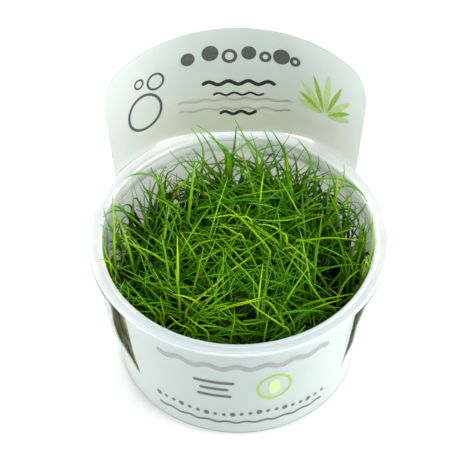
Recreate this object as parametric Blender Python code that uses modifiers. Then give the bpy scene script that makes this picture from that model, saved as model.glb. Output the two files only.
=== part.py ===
"""Dwarf hairgrass grown in a culture cup, with the die-cut sleeve that wraps the cup.

Metres, +Z up. The origin is the middle of the cup's flat base. The front of the cup faces -Y and
the sleeve's tall header stands behind, at +Y.
"""
import math
import random

import bmesh
import bpy
from mathutils import Vector
from mathutils.kdtree import KDTree

MM = 0.001
GAP = 0.3 * MM

# Cup: a tapered tub with a flat lip that turns down into a short skirt
CUP_HEIGHT = 45.3 * MM
RIM_RADIUS = 39.9 * MM
MOUTH_RADIUS = 36.3 * MM
MOUTH_FOOT = 43.4 * MM
SKIRT_FOOT = 44.1 * MM
BASE_RADIUS = 32.2 * MM
WALL_SLOPE = 0.113
WALL = 0.7 * MM
FLOOR = 1.2 * MM
CUP_STEPS = 48

# Growing gel, poured to a little over half the cup
GEL_TOP = 23.0 * MM
GEL_STEPS = 32

# Sleeve: one thin sheet, cut flat and rolled round the cup
SHEET = 0.35 * MM
SLEEVE_FOOT = 1.2 * MM
SLEEVE_FOOT_RADIUS = BASE_RADIUS + GAP + SHEET
BAND_TOP = 43.2 * MM
SLEEVE_TURN = math.radians(1.5)
FLAT_RADIUS = 45 * MM
SEAM_ANGLE = math.radians(-90)
SHEET_COLUMNS = 60

# Sides of the sleeve, which stand off the cup's wall
STANDOFF = 1.2 * MM
STANDOFF_START = 6 * MM
STANDOFF_RISE = 14 * MM
STANDOFF_SPAN = math.radians(25)
SIDE_LEAN_START = 33 * MM
SIDE_LEAN = 0.1
SHEET_CREASES = (20 * MM, SIDE_LEAN_START)

# Header: the part of the sheet that stands up behind the cup
HEADER_HALF_ANGLE = math.radians(54.9)
HEADER_TOP = 80.3 * MM
HEADER_DROP = 3.0 * MM
HEADER_CORNER = 9 * MM
HEADER_FREE_ANGLE = math.radians(80)
EDGE_RADIUS_AT_LIP = 40.65 * MM
EDGE_SLOPE = 0.085
MIDDLE_RADIUS_AT_LIP = 38.05 * MM
MIDDLE_SLOPE = 0.145
DENT_HALF_ANGLE = math.radians(36)

# Slot in the header, through which the back of the lip shows
SLOT_HALF_ANGLE = math.radians(33.2)
SLOT_TOP = CUP_HEIGHT + 0.35 * MM
SLOT_FOOT = 41.7 * MM

# Slits beside the front panel, which is tucked under the lip
SLIT_FOOT = 13 * MM
SLIT_ANGLE = math.radians(54.3)
SLIT_FOOT_ANGLE = math.radians(52.2)
SLIT_STRAIGHT = 25 * MM
NARROW_SLIT = math.radians(0.9)
WIDE_SLIT_FOOT = math.radians(1.0)
WIDE_SLIT_MIDDLE = math.radians(11.5)
WIDE_SLIT_TOP = math.radians(4.5)
WIDE_SLIT_WIDEST = 27 * MM

# Grass: tufts set out on the gel like seeds in a sunflower
TUFT_COUNT = 27
TUFT_RING = 30.7 * MM
GOLDEN_ANGLE = math.pi * (3 - math.sqrt(5))
CLUMP_HEIGHT = 15 * MM
CLUMP_FOOT_RADIUS = 3.2 * MM
CLUMP_TOP_RADIUS = 4.4 * MM
BLADES_PER_TUFT = 8
BLADE_RADIUS = 0.55 * MM
UPRIGHT_REACH = 9 * MM
TIP_SHARE = 0.22
TRIES = 150
SEED = 11

LEAF = (0.115, 0.300, 0.030, 1)
CUP_PLASTIC = (0.86, 0.89, 0.88, 1)
SHEET_WHITE = (0.78, 0.82, 0.79, 1)
GEL_BROWN = (0.060, 0.062, 0.022, 1)


def clear_scene():
    """Remove every object of the open scene."""
    for obj in list(bpy.data.objects):
        bpy.data.objects.remove(obj, do_unlink=True)


def new_collection(name):
    """A collection linked to the scene."""
    collection = bpy.data.collections.new(name)
    bpy.context.scene.collection.children.link(collection)
    return collection


def material(name, color, roughness):
    """A plain Principled material."""
    mat = bpy.data.materials.new(name)
    mat.use_nodes = True
    shader = mat.node_tree.nodes["Principled BSDF"]
    shader.inputs["Base Color"].default_value = color
    shader.inputs["Roughness"].default_value = roughness
    shader.inputs["Metallic"].default_value = 0.0
    return mat


def new_object(name, data, collection, mat=None):
    """An object of this mesh or curve in the collection."""
    obj = bpy.data.objects.new(name, data)
    collection.objects.link(obj)
    if mat:
        data.materials.append(mat)
    return obj


def as_cutter(obj):
    """Show a helper object as wire and leave it out of the model."""
    obj.hide_render = True
    obj.display_type = "WIRE"
    return obj


def smooth(share):
    """Ease a share between 0 and 1 in and out."""
    share = min(max(share, 0.0), 1.0)
    return share * share * (3 - 2 * share)


def turned(name, profile, steps, collection, mat):
    """A solid turned about Z from (radius, height) points that run down its outer side."""
    mesh = bpy.data.meshes.new(name)
    edges = [(i, i + 1) for i in range(len(profile) - 1)]
    mesh.from_pydata([(r, 0, z) for r, z in profile], edges, [])
    obj = new_object(name, mesh, collection, mat)
    screw = obj.modifiers.new("Turn", "SCREW")
    screw.steps = steps
    screw.render_steps = steps
    screw.use_merge_vertices = True
    screw.merge_threshold = 0.00001
    screw.use_smooth_shade = True
    return obj


def plain_mesh(obj, weld):
    """The object as it is evaluated, welded, in a mesh of its own."""
    evaluated = obj.evaluated_get(bpy.context.evaluated_depsgraph_get())
    mesh = bpy.data.meshes.new_from_object(evaluated)
    bm = bmesh.new()
    bm.from_mesh(mesh)
    bmesh.ops.remove_doubles(bm, verts=bm.verts, dist=weld)
    bmesh.ops.recalc_face_normals(bm, faces=bm.faces)
    bm.to_mesh(mesh)
    bm.free()
    return mesh


def wall_radius(height):
    """Outer radius of the cup's wall."""
    return BASE_RADIUS + WALL_SLOPE * height


def build_cup(collection, mat):
    """The tub: flat base, thin tapered wall, and a lip with a bead at its inner edge."""
    foot_round = 0.8 * MM
    web_under = CUP_HEIGHT - 0.85 * MM
    bead = 1.0 * MM
    land = CUP_HEIGHT - 0.3 * MM
    edge = 0.4 * MM
    profile = [
        (0, FLOOR),
        (wall_radius(FLOOR) - WALL - foot_round, FLOOR),
        (wall_radius(FLOOR + foot_round) - WALL, FLOOR + foot_round),
        (wall_radius(MOUTH_FOOT) - WALL, MOUTH_FOOT),
        (MOUTH_RADIUS, MOUTH_FOOT + 0.15 * MM),
        (MOUTH_RADIUS, CUP_HEIGHT - edge),
        (MOUTH_RADIUS + edge, CUP_HEIGHT),
        (MOUTH_RADIUS + bead, CUP_HEIGHT),
        (MOUTH_RADIUS + bead + 0.15 * MM, land),
        (RIM_RADIUS - bead, land),
        (RIM_RADIUS - edge, CUP_HEIGHT),
        (RIM_RADIUS, CUP_HEIGHT - edge),
        (RIM_RADIUS - 0.1 * MM, SKIRT_FOOT + 0.2 * MM),
        (RIM_RADIUS - edge, SKIRT_FOOT),
        (RIM_RADIUS - 0.9 * MM, web_under),
        (wall_radius(web_under), web_under),
        (wall_radius(foot_round), foot_round),
        (BASE_RADIUS - foot_round, 0),
        (0, 0),
    ]
    return turned("cup", profile, CUP_STEPS, collection, mat)


def build_gel(collection, mat):
    """The set gel that fills the lower part of the cup."""
    low = FLOOR + GAP
    chamfer = 2 * MM

    def inside(height):
        return wall_radius(height) - WALL - GAP

    profile = [
        (0, GEL_TOP),
        (inside(GEL_TOP), GEL_TOP),
        (inside(low + chamfer), low + chamfer),
        (inside(low) - chamfer, low),
        (0, low),
    ]
    return turned("growing_gel", profile, GEL_STEPS, collection, mat)


def slit_edge(height):
    """Angle from the front's middle to the front panel's side edge."""
    bend = smooth((SLIT_STRAIGHT - height) / (SLIT_STRAIGHT - SLIT_FOOT))
    return SLIT_ANGLE + (SLIT_FOOT_ANGLE - SLIT_ANGLE) * bend


def wide_slit(height):
    """Width of the left slit, as an angle: a blade shape that is widest in its lower half."""
    if height < WIDE_SLIT_WIDEST:
        share = math.sqrt((height - SLIT_FOOT) / (WIDE_SLIT_WIDEST - SLIT_FOOT))
        return WIDE_SLIT_FOOT + (WIDE_SLIT_MIDDLE - WIDE_SLIT_FOOT) * share
    share = smooth((height - WIDE_SLIT_WIDEST) / (BAND_TOP - WIDE_SLIT_WIDEST))
    return WIDE_SLIT_MIDDLE + (WIDE_SLIT_TOP - WIDE_SLIT_MIDDLE) * share


def narrow_slit(height):
    """Width of the right slit, as an angle: a plain cut."""
    return NARROW_SLIT


def near_radius(height):
    """Outer radius of the sheet where it lies close round the cup's wall."""
    return SLEEVE_FOOT_RADIUS + WALL_SLOPE * height


def side_radius(from_front, height):
    """Outer radius of a side: off the wall above the slit's foot, and from lower down further back."""
    share = smooth((from_front - SLIT_ANGLE) / STANDOFF_SPAN)
    start = SLIT_FOOT + (STANDOFF_START - SLIT_FOOT) * share
    off = STANDOFF * smooth((height - start) / STANDOFF_RISE)
    return near_radius(height) + off + SIDE_LEAN * max(0.0, height - SIDE_LEAN_START)


def back_radius(from_back, height):
    """Outer radius behind the cup, where the sheet is flatter than the lip that pokes through it."""
    at_lip = near_radius(CUP_HEIGHT)
    above = max(0.0, height - CUP_HEIGHT)
    share = min(height, CUP_HEIGHT) / CUP_HEIGHT
    middle = (MIDDLE_RADIUS_AT_LIP - at_lip) * share + MIDDLE_SLOPE * above
    edge = (EDGE_RADIUS_AT_LIP - at_lip) * smooth(share) + EDGE_SLOPE * above
    dent = smooth(1 - from_back / DENT_HALF_ANGLE)
    return near_radius(min(height, CUP_HEIGHT)) + edge + (middle - edge) * dent


def sheet_radius(angle, height):
    """Outer radius of the rolled sheet, for an angle from the back's middle.

    The front panel follows the wall, the sides stand off it, and the back passes from the wall
    in its middle to outside the rim at the header's sides.
    """
    from_front = abs(abs(angle) - math.pi) if angle < math.pi else angle - math.pi
    if from_front < slit_edge(height) + NARROW_SLIT / 3:
        return near_radius(height)
    side = side_radius(from_front, height)
    from_back = math.pi - from_front
    free = HEADER_FREE_ANGLE
    share = smooth((free - from_back) / (free - HEADER_HALF_ANGLE))
    return side + (back_radius(from_back, height) - side) * share


def outline_cutter(name, points, collection):
    """A closed prism over a flat outline, for cutting the flat sheet."""
    curve = bpy.data.curves.new(name, "CURVE")
    curve.dimensions = "2D"
    curve.fill_mode = "BOTH"
    curve.extrude = 5 * MM
    spline = curve.splines.new("POLY")
    spline.points.add(len(points) - 1)
    for point, (x, y) in zip(spline.points, points):
        point.co = (x, y, 0, 1)
    spline.use_cyclic_u = True
    drawn = new_object(name + "_outline", curve, collection)
    cutter = as_cutter(new_object(name, plain_mesh(drawn, 0.00001), collection))
    bpy.data.objects.remove(drawn, do_unlink=True)
    return cutter


def arc(centre, radius, start, end, steps):
    """Points along a circle's arc, in the flat sheet's plane."""
    turns = [start + (end - start) * i / steps for i in range(steps + 1)]
    return [(centre[0] + radius * math.cos(t), centre[1] + radius * math.sin(t)) for t in turns]


def header_outline():
    """The header's edge on the flat sheet, from its left foot over the top to its right foot."""
    half = HEADER_HALF_ANGLE * FLAT_RADIUS
    reach = half - HEADER_CORNER
    top_radius = (reach * reach + HEADER_DROP * HEADER_DROP) / (2 * HEADER_DROP)
    spread = math.asin(reach / top_radius)
    corner_y = HEADER_TOP - HEADER_DROP - HEADER_CORNER
    up = math.pi / 2
    left = arc((-reach, corner_y), HEADER_CORNER, math.pi, up + spread, 7)
    top = arc((0, HEADER_TOP - top_radius), top_radius, up + spread, up - spread, 14)
    right = arc((reach, corner_y), HEADER_CORNER, up - spread, 0, 7)
    return [(-half, BAND_TOP), *left, *top[1:-1], *right, (half, BAND_TOP)]


def waste_outline():
    """What is cut off the flat sheet above the band, on both sides of the header and over it."""
    start = SEAM_ANGLE * FLAT_RADIUS - 5 * MM
    end = start + math.tau * FLAT_RADIUS + 10 * MM
    above = HEADER_TOP + 10 * MM
    return [(start, BAND_TOP), *header_outline(), (end, BAND_TOP), (end, above), (start, above)]


def slot_outline():
    """The slot on the flat sheet, with half-round ends."""
    end = (SLOT_TOP - SLOT_FOOT) / 2
    reach = SLOT_HALF_ANGLE * FLAT_RADIUS - end
    middle = (SLOT_TOP + SLOT_FOOT) / 2
    up = math.pi / 2
    return arc((-reach, middle), end, 3 * up, up, 6) + arc((reach, middle), end, up, -up, 6)


def slit_outline(side, width):
    """One slit on the flat sheet: side is 1 for the right one and -1 for the left one."""
    levels = [SLIT_FOOT + (BAND_TOP - SLIT_FOOT) * (i / 9) ** 1.6 for i in range(10)]
    levels.append(BAND_TOP + 1 * MM)
    front = [(math.pi - side * slit_edge(h), h) for h in levels]
    back = [(math.pi - side * (slit_edge(h) + width(min(h, BAND_TOP))), h) for h in levels]
    return [(a * FLAT_RADIUS, h) for a, h in front + back[::-1]]


def flat_sheet(collection):
    """The sheet before it is cut: narrow columns, creased where its slope changes."""
    bm = bmesh.new()
    bmesh.ops.create_grid(bm, x_segments=SHEET_COLUMNS, y_segments=1, size=0.5)
    height = HEADER_TOP + 1 * MM - SLEEVE_FOOT
    for v in bm.verts:
        v.co.x = (SEAM_ANGLE + (v.co.x + 0.5) * math.tau) * FLAT_RADIUS
        v.co.y = SLEEVE_FOOT + (v.co.y + 0.5) * height
    for level in (SLIT_FOOT, *SHEET_CREASES, CUP_HEIGHT):
        everything = bm.verts[:] + bm.edges[:] + bm.faces[:]
        bmesh.ops.bisect_plane(bm, geom=everything, plane_co=(0, level, 0), plane_no=(0, 1, 0))
    mesh = bpy.data.meshes.new("flat_sheet")
    bm.to_mesh(mesh)
    bm.free()
    return as_cutter(new_object("flat_sheet", mesh, collection))


def roll(mesh):
    """Roll the cut sheet round the cup and weld its two ends."""
    bm = bmesh.new()
    bm.from_mesh(mesh)
    for v in bm.verts:
        angle = v.co.x / FLAT_RADIUS
        radius = sheet_radius(angle, v.co.y)
        v.co = (radius * math.sin(angle), radius * math.cos(angle), v.co.y)
    bmesh.ops.remove_doubles(bm, verts=bm.verts, dist=0.00001)
    bmesh.ops.recalc_face_normals(bm, faces=bm.faces)
    bm.to_mesh(mesh)
    bm.free()


def build_sleeve(collection, cutters, mat):
    """The wrap-around sleeve: band, tucked front panel, leaning sides and the header in one sheet."""
    flat = flat_sheet(cutters)
    shapes = {
        "cut_above_band": waste_outline(),
        "cut_slot": slot_outline(),
        "cut_right_slit": slit_outline(1, narrow_slit),
        "cut_left_slit": slit_outline(-1, wide_slit),
    }
    for name, points in shapes.items():
        cut = flat.modifiers.new(name, "BOOLEAN")
        cut.operation = "DIFFERENCE"
        cut.solver = "EXACT"
        cut.object = outline_cutter(name, points, cutters)
    mesh = plain_mesh(flat, 0.00001)
    roll(mesh)
    sleeve = new_object("label_sleeve", mesh, collection, mat)
    sleeve.rotation_euler.z = SLEEVE_TURN
    thickness = sleeve.modifiers.new("Sheet thickness", "SOLIDIFY")
    thickness.thickness = SHEET
    thickness.offset = -1
    return sleeve


def tuft_place(index):
    """Where a tuft stands on the gel."""
    radius = TUFT_RING * math.sqrt((index + 0.5) / TUFT_COUNT)
    angle = index * GOLDEN_ANGLE
    return Vector((radius * math.cos(angle), radius * math.sin(angle), GEL_TOP + GAP))


def clump_mesh(name, rng):
    """The packed foot of a tuft: flat on the gel, wider above, with a low pointed top."""
    bm = bmesh.new()
    bmesh.ops.create_uvsphere(bm, u_segments=6, v_segments=4, radius=1)
    spin = rng.uniform(0, math.tau)
    lowest_ring = -math.cos(math.pi / 4)
    for v in bm.verts:
        share = (max(v.co.z, lowest_ring) - lowest_ring) / (1 - lowest_ring)
        wide = CLUMP_FOOT_RADIUS + (CLUMP_TOP_RADIUS - CLUMP_FOOT_RADIUS) * share / 0.8
        turn = math.atan2(v.co.y, v.co.x) + spin
        if abs(v.co.z) > 0.99:
            wide = 0.0
        v.co = (wide * math.cos(turn), wide * math.sin(turn), CLUMP_HEIGHT * share)
    mesh = bpy.data.meshes.new(name)
    bm.to_mesh(mesh)
    bm.free()
    return mesh


def blade_path(root, lean, reach, rise, droop):
    """Points of one blade that rises from its root, leans one way and may droop at the tip."""
    way = Vector((math.cos(lean), math.sin(lean), 0))
    middle = root + way * (reach * 0.25) + Vector((0, 0, rise * 0.75))
    shoulder = root + way * (reach * 0.65) + Vector((0, 0, rise * 1.05))
    tip = root + way * reach + Vector((0, 0, rise - droop))
    points = []
    segments = 3 if reach < UPRIGHT_REACH else 4
    for i in range(segments + 1):
        t = i / segments
        s = 1 - t
        points.append(root * s**3 + middle * (3 * s * s * t) + shoulder * (3 * s * t * t) + tip * t**3)
    return points


def samples(points):
    """Places every half millimetre or so along a blade, for measuring clearances."""
    found = []
    for a, b in zip(points, points[1:]):
        count = max(2, int((b - a).length / (0.5 * MM)))
        found.extend(a.lerp(b, i / count) for i in range(count))
    found.append(points[-1])
    return found


def inside_limits(spot):
    """Whether a place on a blade's middle line keeps clear of the cup, the lip and the header."""
    radius = math.hypot(spot.x, spot.y)
    clear = BLADE_RADIUS + GAP
    if spot.z < CUP_HEIGHT + clear:
        return radius < min(wall_radius(spot.z) - WALL, MOUTH_RADIUS) - clear
    angle = math.atan2(spot.x, spot.y) + SLEEVE_TURN
    if abs(angle) < HEADER_FREE_ANGLE:
        return radius < min(sheet_radius(angle, spot.z) - SHEET - clear, RIM_RADIUS)
    return radius < RIM_RADIUS


def clears_clumps(spot, index):
    """Whether a place keeps its distance from the packed feet of the other tufts."""
    if spot.z > GEL_TOP + GAP + CLUMP_HEIGHT + BLADE_RADIUS + GAP:
        return True
    for other in range(TUFT_COUNT):
        place = tuft_place(other)
        near = math.hypot(spot.x - place.x, spot.y - place.y) < CLUMP_TOP_RADIUS + BLADE_RADIUS + GAP
        if near and other != index:
            return False
    return True


class BladeMap:
    """Where blades have grown so far, for keeping the next ones apart."""

    def __init__(self):
        self.spots = []
        self.tree = KDTree(0)
        self.tree.balance()

    def add(self, spots, index):
        """Take in the blade of a tuft."""
        self.spots.extend((spot, index) for spot in spots)
        self.tree = KDTree(len(self.spots))
        for i, (spot, _) in enumerate(self.spots):
            self.tree.insert(spot, i)
        self.tree.balance()

    def is_free(self, spot, index):
        """Whether a place is clear of other tufts, and of its own tuft above the packed foot."""
        bare = spot.z > GEL_TOP + GAP + CLUMP_HEIGHT
        reach = 2 * BLADE_RADIUS + GAP + 0.1 * MM
        near = self.tree.find_range(spot, reach)
        return not any(bare or self.spots[i][1] != index for _, i, _ in near)


def random_blade(rng, index, number):
    """A blade of a tuft, in its own sector round the tuft so that the tuft fills all its sides."""
    lean = math.tau * (number + rng.uniform(-0.5, 0.5)) / BLADES_PER_TUFT + index
    spread = 1.6 * MM
    root = tuft_place(index) + Vector((
        spread * math.cos(lean),
        spread * math.sin(lean),
        CLUMP_HEIGHT * 0.6,
    ))
    reach = rng.uniform(3, 19) * MM
    rise = rng.uniform(11, 24) * MM
    return blade_path(root, lean, reach, rise, rng.uniform(0, 7) * MM)


def grow_blades():
    """Paths of every blade, tuft by tuft, none of them touching a neighbouring tuft's."""
    rng = random.Random(SEED)
    grown = BladeMap()
    paths = [[] for _ in range(TUFT_COUNT)]
    for number in range(BLADES_PER_TUFT):
        for index in range(TUFT_COUNT):
            for _ in range(TRIES):
                path = random_blade(rng, index, number)
                spots = samples(path)
                if all(
                    inside_limits(s) and clears_clumps(s, index) and grown.is_free(s, index)
                    for s in reversed(spots)
                ):
                    paths[index].append(path)
                    grown.add(spots, index)
                    break
    return paths


def blade_profile(cutters):
    """The three-sided section that every blade is drawn with."""
    curve = bpy.data.curves.new("blade_section", "CURVE")
    curve.dimensions = "2D"
    spline = curve.splines.new("POLY")
    spline.points.add(2)
    for i, point in enumerate(spline.points):
        turn = math.tau * i / 3
        point.co = (BLADE_RADIUS * math.cos(turn), BLADE_RADIUS * math.sin(turn), 0, 1)
    spline.use_cyclic_u = True
    return as_cutter(new_object("blade_section", curve, cutters))


def blades_of_tuft(name, paths, section, cutters):
    """The tapering blades of one tuft in one mesh."""
    curve = bpy.data.curves.new(name, "CURVE")
    curve.dimensions = "3D"
    curve.bevel_mode = "OBJECT"
    curve.bevel_object = section
    curve.use_fill_caps = True
    for path in paths:
        spline = curve.splines.new("POLY")
        spline.points.add(len(path) - 1)
        for i, (point, place) in enumerate(zip(spline.points, path)):
            point.co = (*place, 1)
            point.radius = 1 - (1 - TIP_SHARE) * (i / (len(path) - 1)) ** 2.5
    drawn = new_object(name + "_line", curve, cutters)
    blades = as_cutter(new_object(name, plain_mesh(drawn, 0.00001), cutters))
    bpy.data.objects.remove(drawn, do_unlink=True)
    return blades


def build_grass(collection, cutters, mat):
    """Every tuft: its packed foot with its blades joined on."""
    rng = random.Random(SEED)
    section = blade_profile(cutters)
    for index, paths in enumerate(grow_blades()):
        name = f"tuft_{index + 1:02d}"
        tuft = new_object(name, clump_mesh(name, rng), collection, mat)
        tuft.location = tuft_place(index)
        join = tuft.modifiers.new("Blades", "BOOLEAN")
        join.operation = "UNION"
        join.solver = "EXACT"
        join.use_self = True
        join.object = blades_of_tuft(name + "_blades", paths, section, cutters)


def main():
    """Build the whole cup of hairgrass."""
    clear_scene()
    parts = new_collection("dwarf_hairgrass_cup")
    cutters = new_collection("cutters")
    build_cup(parts, material("cup plastic", CUP_PLASTIC, 0.3))
    build_sleeve(parts, cutters, material("sleeve sheet", SHEET_WHITE, 0.45))
    build_gel(parts, material("growing gel", GEL_BROWN, 0.25))
    build_grass(parts, cutters, material("grass leaf", LEAF, 0.4))


main()
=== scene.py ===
"""Dwarf hairgrass in its culture cup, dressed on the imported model's frame.

The cup, its wrap-around sleeve, the growing gel and the grass are built here in
metres, +Z up, with the front towards -Y, and each piece stands for the solids of
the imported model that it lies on. Sizes in the classes are in millimetres, unless
they say otherwise.
"""

from __future__ import annotations

import logging
import math
import random
from dataclasses import dataclass
from dataclasses import field
from enum import Enum
from typing import Callable
from typing import Iterable
from typing import Sequence

import bmesh
import bpy
import numpy as np
from bpy.types import Material
from bpy.types import Mesh
from bpy.types import Node
from bpy.types import NodeSocket
from bpy.types import NodeTree
from bpy.types import Object
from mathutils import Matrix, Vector
from mathutils.geometry import delaunay_2d_cdt

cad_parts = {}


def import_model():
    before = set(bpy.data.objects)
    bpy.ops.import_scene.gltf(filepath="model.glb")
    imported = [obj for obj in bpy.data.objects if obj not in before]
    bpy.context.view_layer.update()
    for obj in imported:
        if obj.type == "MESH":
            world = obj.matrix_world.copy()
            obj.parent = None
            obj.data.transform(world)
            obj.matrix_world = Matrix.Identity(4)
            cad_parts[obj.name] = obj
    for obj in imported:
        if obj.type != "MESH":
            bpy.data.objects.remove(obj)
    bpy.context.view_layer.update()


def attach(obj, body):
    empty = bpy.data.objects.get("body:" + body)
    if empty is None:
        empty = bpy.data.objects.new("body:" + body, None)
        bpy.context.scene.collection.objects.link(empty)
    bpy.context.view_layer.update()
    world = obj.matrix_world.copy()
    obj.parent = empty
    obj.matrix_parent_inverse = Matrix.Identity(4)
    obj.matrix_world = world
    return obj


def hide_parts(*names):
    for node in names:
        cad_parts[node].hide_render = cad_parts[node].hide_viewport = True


log = logging.getLogger("hairgrass_cup")

MM = 0.001
BODY = "root"

Point = tuple[float, float]
Place = tuple[float, float, float]
Band = tuple[float, float]
Loop = list[Point]

# Most values of a noise lie between these two
NOISE_BAND = (0.3, 0.7)

# Points closer than this are one, in metres, and on a flat sheet in millimetres
WELD = 0.00001
FLAT_WELD = 1e-7

# Rows of even triangles, and their distance from an outline, as shares of a triangle's side
ROW_SHARE = 0.87
EDGE_SHARE = 0.45

# Edges bent by more than this stay sharp, in degrees, on turned pieces and on thin sheets
TURNED_SHARP = 50
SHEET_SHARP = 40


class Slot(Enum):
    """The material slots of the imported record."""

    CUP = "cup_plastic"
    SHEET = "sleeve_sheet"
    GEL = "gel"
    LEAF = "leaf"


class Face(Enum):
    """The side of the sleeve's sheet that is printed on."""

    OUTSIDE = 1
    INSIDE = -1


class Ink(Enum):
    """The printing inks: what each is called, its colour and the colour of its mottling."""

    CHARCOAL = ("charcoal", "#4b4e4d", "#565958")
    BLACK = ("black", "#1d2020", "#272a2a")
    GREY = ("mid grey", "#8b9290", "#979d9b")
    GREEN = ("leaf green", "#8ab534", "#97bf44")
    PALE_GREEN = ("pale green", "#b4cf86", "#c3d99c")
    PALE_GREY = ("pale grey", "#b9c3ba", "#c2cbc3")


# Helpers for colours, nodes and meshes

def linear(code: str) -> tuple[float, float, float, float]:
    """Turn an sRGB hex colour into the linear colour that a shader takes.

    Args:
        code: the colour as "#rrggbb".

    Returns:
        Linear red, green, blue and full alpha.
    """
    shares = [int(code[i:i + 2], 16) / 255 for i in (1, 3, 5)]
    red, green, blue = (s / 12.92 if s <= 0.04045 else ((s + 0.055) / 1.055) ** 2.4 for s in shares)
    return red, green, blue, 1.0


def add_node(
    tree: NodeTree,
    kind: str,
    inputs: dict | None = None,
    stops: Sequence[tuple[float, str]] = (),
    **settings,
) -> Node:
    """Add a node with its settings, values, colour stops and links.

    Args:
        tree: the node tree.
        kind: the node's type.
        inputs: socket name or number to a value, or to the output socket that feeds it.
        stops: on a colour ramp, the place from 0 to 1 and the sRGB hex colour of each stop.
        **settings: properties of the node itself.

    Returns:
        The new node.
    """
    node = tree.nodes.new(kind)
    for name, value in settings.items():
        setattr(node, name, value)
    for key, value in (inputs or {}).items():
        if isinstance(value, NodeSocket):
            tree.links.new(value, node.inputs[key])
        else:
            node.inputs[key].default_value = value
    if stops:
        bands = node.color_ramp.elements
        while len(bands) < len(stops):
            bands.new(0.5)
        for band, (place, code) in zip(bands, stops):
            band.position = place
            band.color = linear(code)
    return node


def smooth(share: float) -> float:
    """Ease a share from 0 to 1, held at both ends."""
    share = min(max(share, 0.0), 1.0)
    return share * share * (3 - 2 * share)


def place_in_scene(name: str, mesh: Mesh) -> Object:
    """Link a new object with a mesh at the origin of the scene.

    Args:
        name: the object's name.
        mesh: its mesh, with its place in its points.

    Returns:
        The new object.
    """
    obj = bpy.data.objects.new(name, mesh)
    bpy.context.scene.collection.objects.link(obj)
    return obj


def apply_modifiers(obj: Object) -> None:
    """Turn what an object's modifiers make into its own plain mesh.

    Args:
        obj: the object, which has no modifiers afterwards.
    """
    bpy.context.view_layer.update()
    evaluated = obj.evaluated_get(bpy.context.evaluated_depsgraph_get())
    mesh = bpy.data.meshes.new_from_object(evaluated)
    obj.modifiers.clear()
    obj.data = mesh
    mesh.name = obj.name


def shade(mesh: Mesh, sharp_from: float) -> None:
    """Shade a mesh smooth, apart from edges bent by more than an angle in degrees."""
    mesh.polygons.foreach_set("use_smooth", [True] * len(mesh.polygons))
    mesh.set_sharp_from_angle(angle=math.radians(sharp_from))


def turned(name: str, profile: Sequence[Point], steps: int) -> Mesh:
    """Turn a closed half section about the upright axis.

    Args:
        name: the mesh's name.
        profile: radius and height of each corner in millimetres, on the axis at both ends.
        steps: how many segments go round.

    Returns:
        A closed mesh with its faces outwards.
    """
    turns = [math.tau * i / steps for i in range(steps)]
    bm = bmesh.new()
    rings = []
    for radius, height in profile:
        places = [(radius * MM * math.cos(t), radius * MM * math.sin(t), height * MM) for t in turns]
        rings.append([bm.verts.new(place) for place in (places if radius else places[:1])])
    for lower, upper in zip(rings, rings[1:]):
        for i in range(steps):
            j = (i + 1) % steps
            around = ((lower, i), (lower, j), (upper, j), (upper, i))
            corners = [ring[k % len(ring)] for ring, k in around]
            bm.faces.new(list(dict.fromkeys(corners)))
    bmesh.ops.recalc_face_normals(bm, faces=bm.faces)
    mesh = bpy.data.meshes.new(name)
    bm.to_mesh(mesh)
    bm.free()
    return mesh


def inside_loops(points: np.ndarray, loops: Iterable[Loop]) -> np.ndarray:
    """Tell which flat points lie inside an odd number of closed loops.

    Args:
        points: an array of x, y rows.
        loops: the closed outlines.

    Returns:
        One truth value for each point.
    """
    inside = np.zeros(len(points), bool)
    x, y = points[:, 0], points[:, 1]
    for loop in loops:
        for (x0, y0), (x1, y1) in zip(loop, loop[1:] + loop[:1]):
            if y0 == y1:
                continue
            crosses = (y0 > y) != (y1 > y)
            at = x0 + (y - y0) * (x1 - x0) / (y1 - y0)
            inside ^= crosses & (x < at)
    return inside


def spaced(loop: Loop, step: float) -> Loop:
    """Add points along a closed outline so that no stretch is longer than a step.

    Args:
        loop: the outline.
        step: the longest stretch.

    Returns:
        The outline with its added points.
    """
    points = []
    for (x0, y0), (x1, y1) in zip(loop, loop[1:] + loop[:1]):
        count = max(1, math.ceil(math.hypot(x1 - x0, y1 - y0) / step))
        points.extend((x0 + (x1 - x0) * i / count, y0 + (y1 - y0) * i / count) for i in range(count))
    return points


def flat_mesh(name: str, loops: Sequence[Loop], step: float) -> Mesh:
    """Fill flat outlines with even triangles, leaving the holes open.

    Args:
        name: the mesh's name.
        loops: outer and inner outlines, in millimetres.
        step: the size of the triangles in millimetres.

    Returns:
        A flat mesh in the x, y plane, in millimetres.
    """
    fine = [spaced(loop, step) for loop in loops]
    corners = [p for loop in fine for p in loop]
    edges = []
    start = 0
    for loop in fine:
        edges.extend((start + i, start + (i + 1) % len(loop)) for i in range(len(loop)))
        start += len(loop)
    outline = np.array(corners)
    low, high = outline.min(axis=0), outline.max(axis=0)
    columns = np.arange(low[0] + step / 2, high[0], step)
    rows = np.arange(low[1] + step / 2, high[1], step * ROW_SHARE)
    grid = np.array([(x + (step / 2) * (j % 2), y) for j, y in enumerate(rows) for x in columns])
    if len(grid):
        grid = grid[inside_loops(grid, loops)]
        gaps = np.array([np.min(np.hypot(*(outline - p).T)) for p in grid])
        grid = grid[gaps > step * EDGE_SHARE] if len(grid) else grid
        corners.extend(map(tuple, grid))
    found = delaunay_2d_cdt([Vector(p) for p in corners], edges, [], 0, FLAT_WELD)
    flat = np.array([tuple(v) for v in found[0]])
    centres = np.array([flat[list(face)].mean(axis=0) for face in found[2]])
    kept = [face for face, good in zip(found[2], inside_loops(centres, loops)) if good]
    used = sorted({i for face in kept for i in face})
    number = {old: new for new, old in enumerate(used)}
    mesh = bpy.data.meshes.new(name)
    mesh.from_pydata([(*flat[i], 0) for i in used], [], [[number[i] for i in face] for face in kept])
    return mesh


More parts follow.
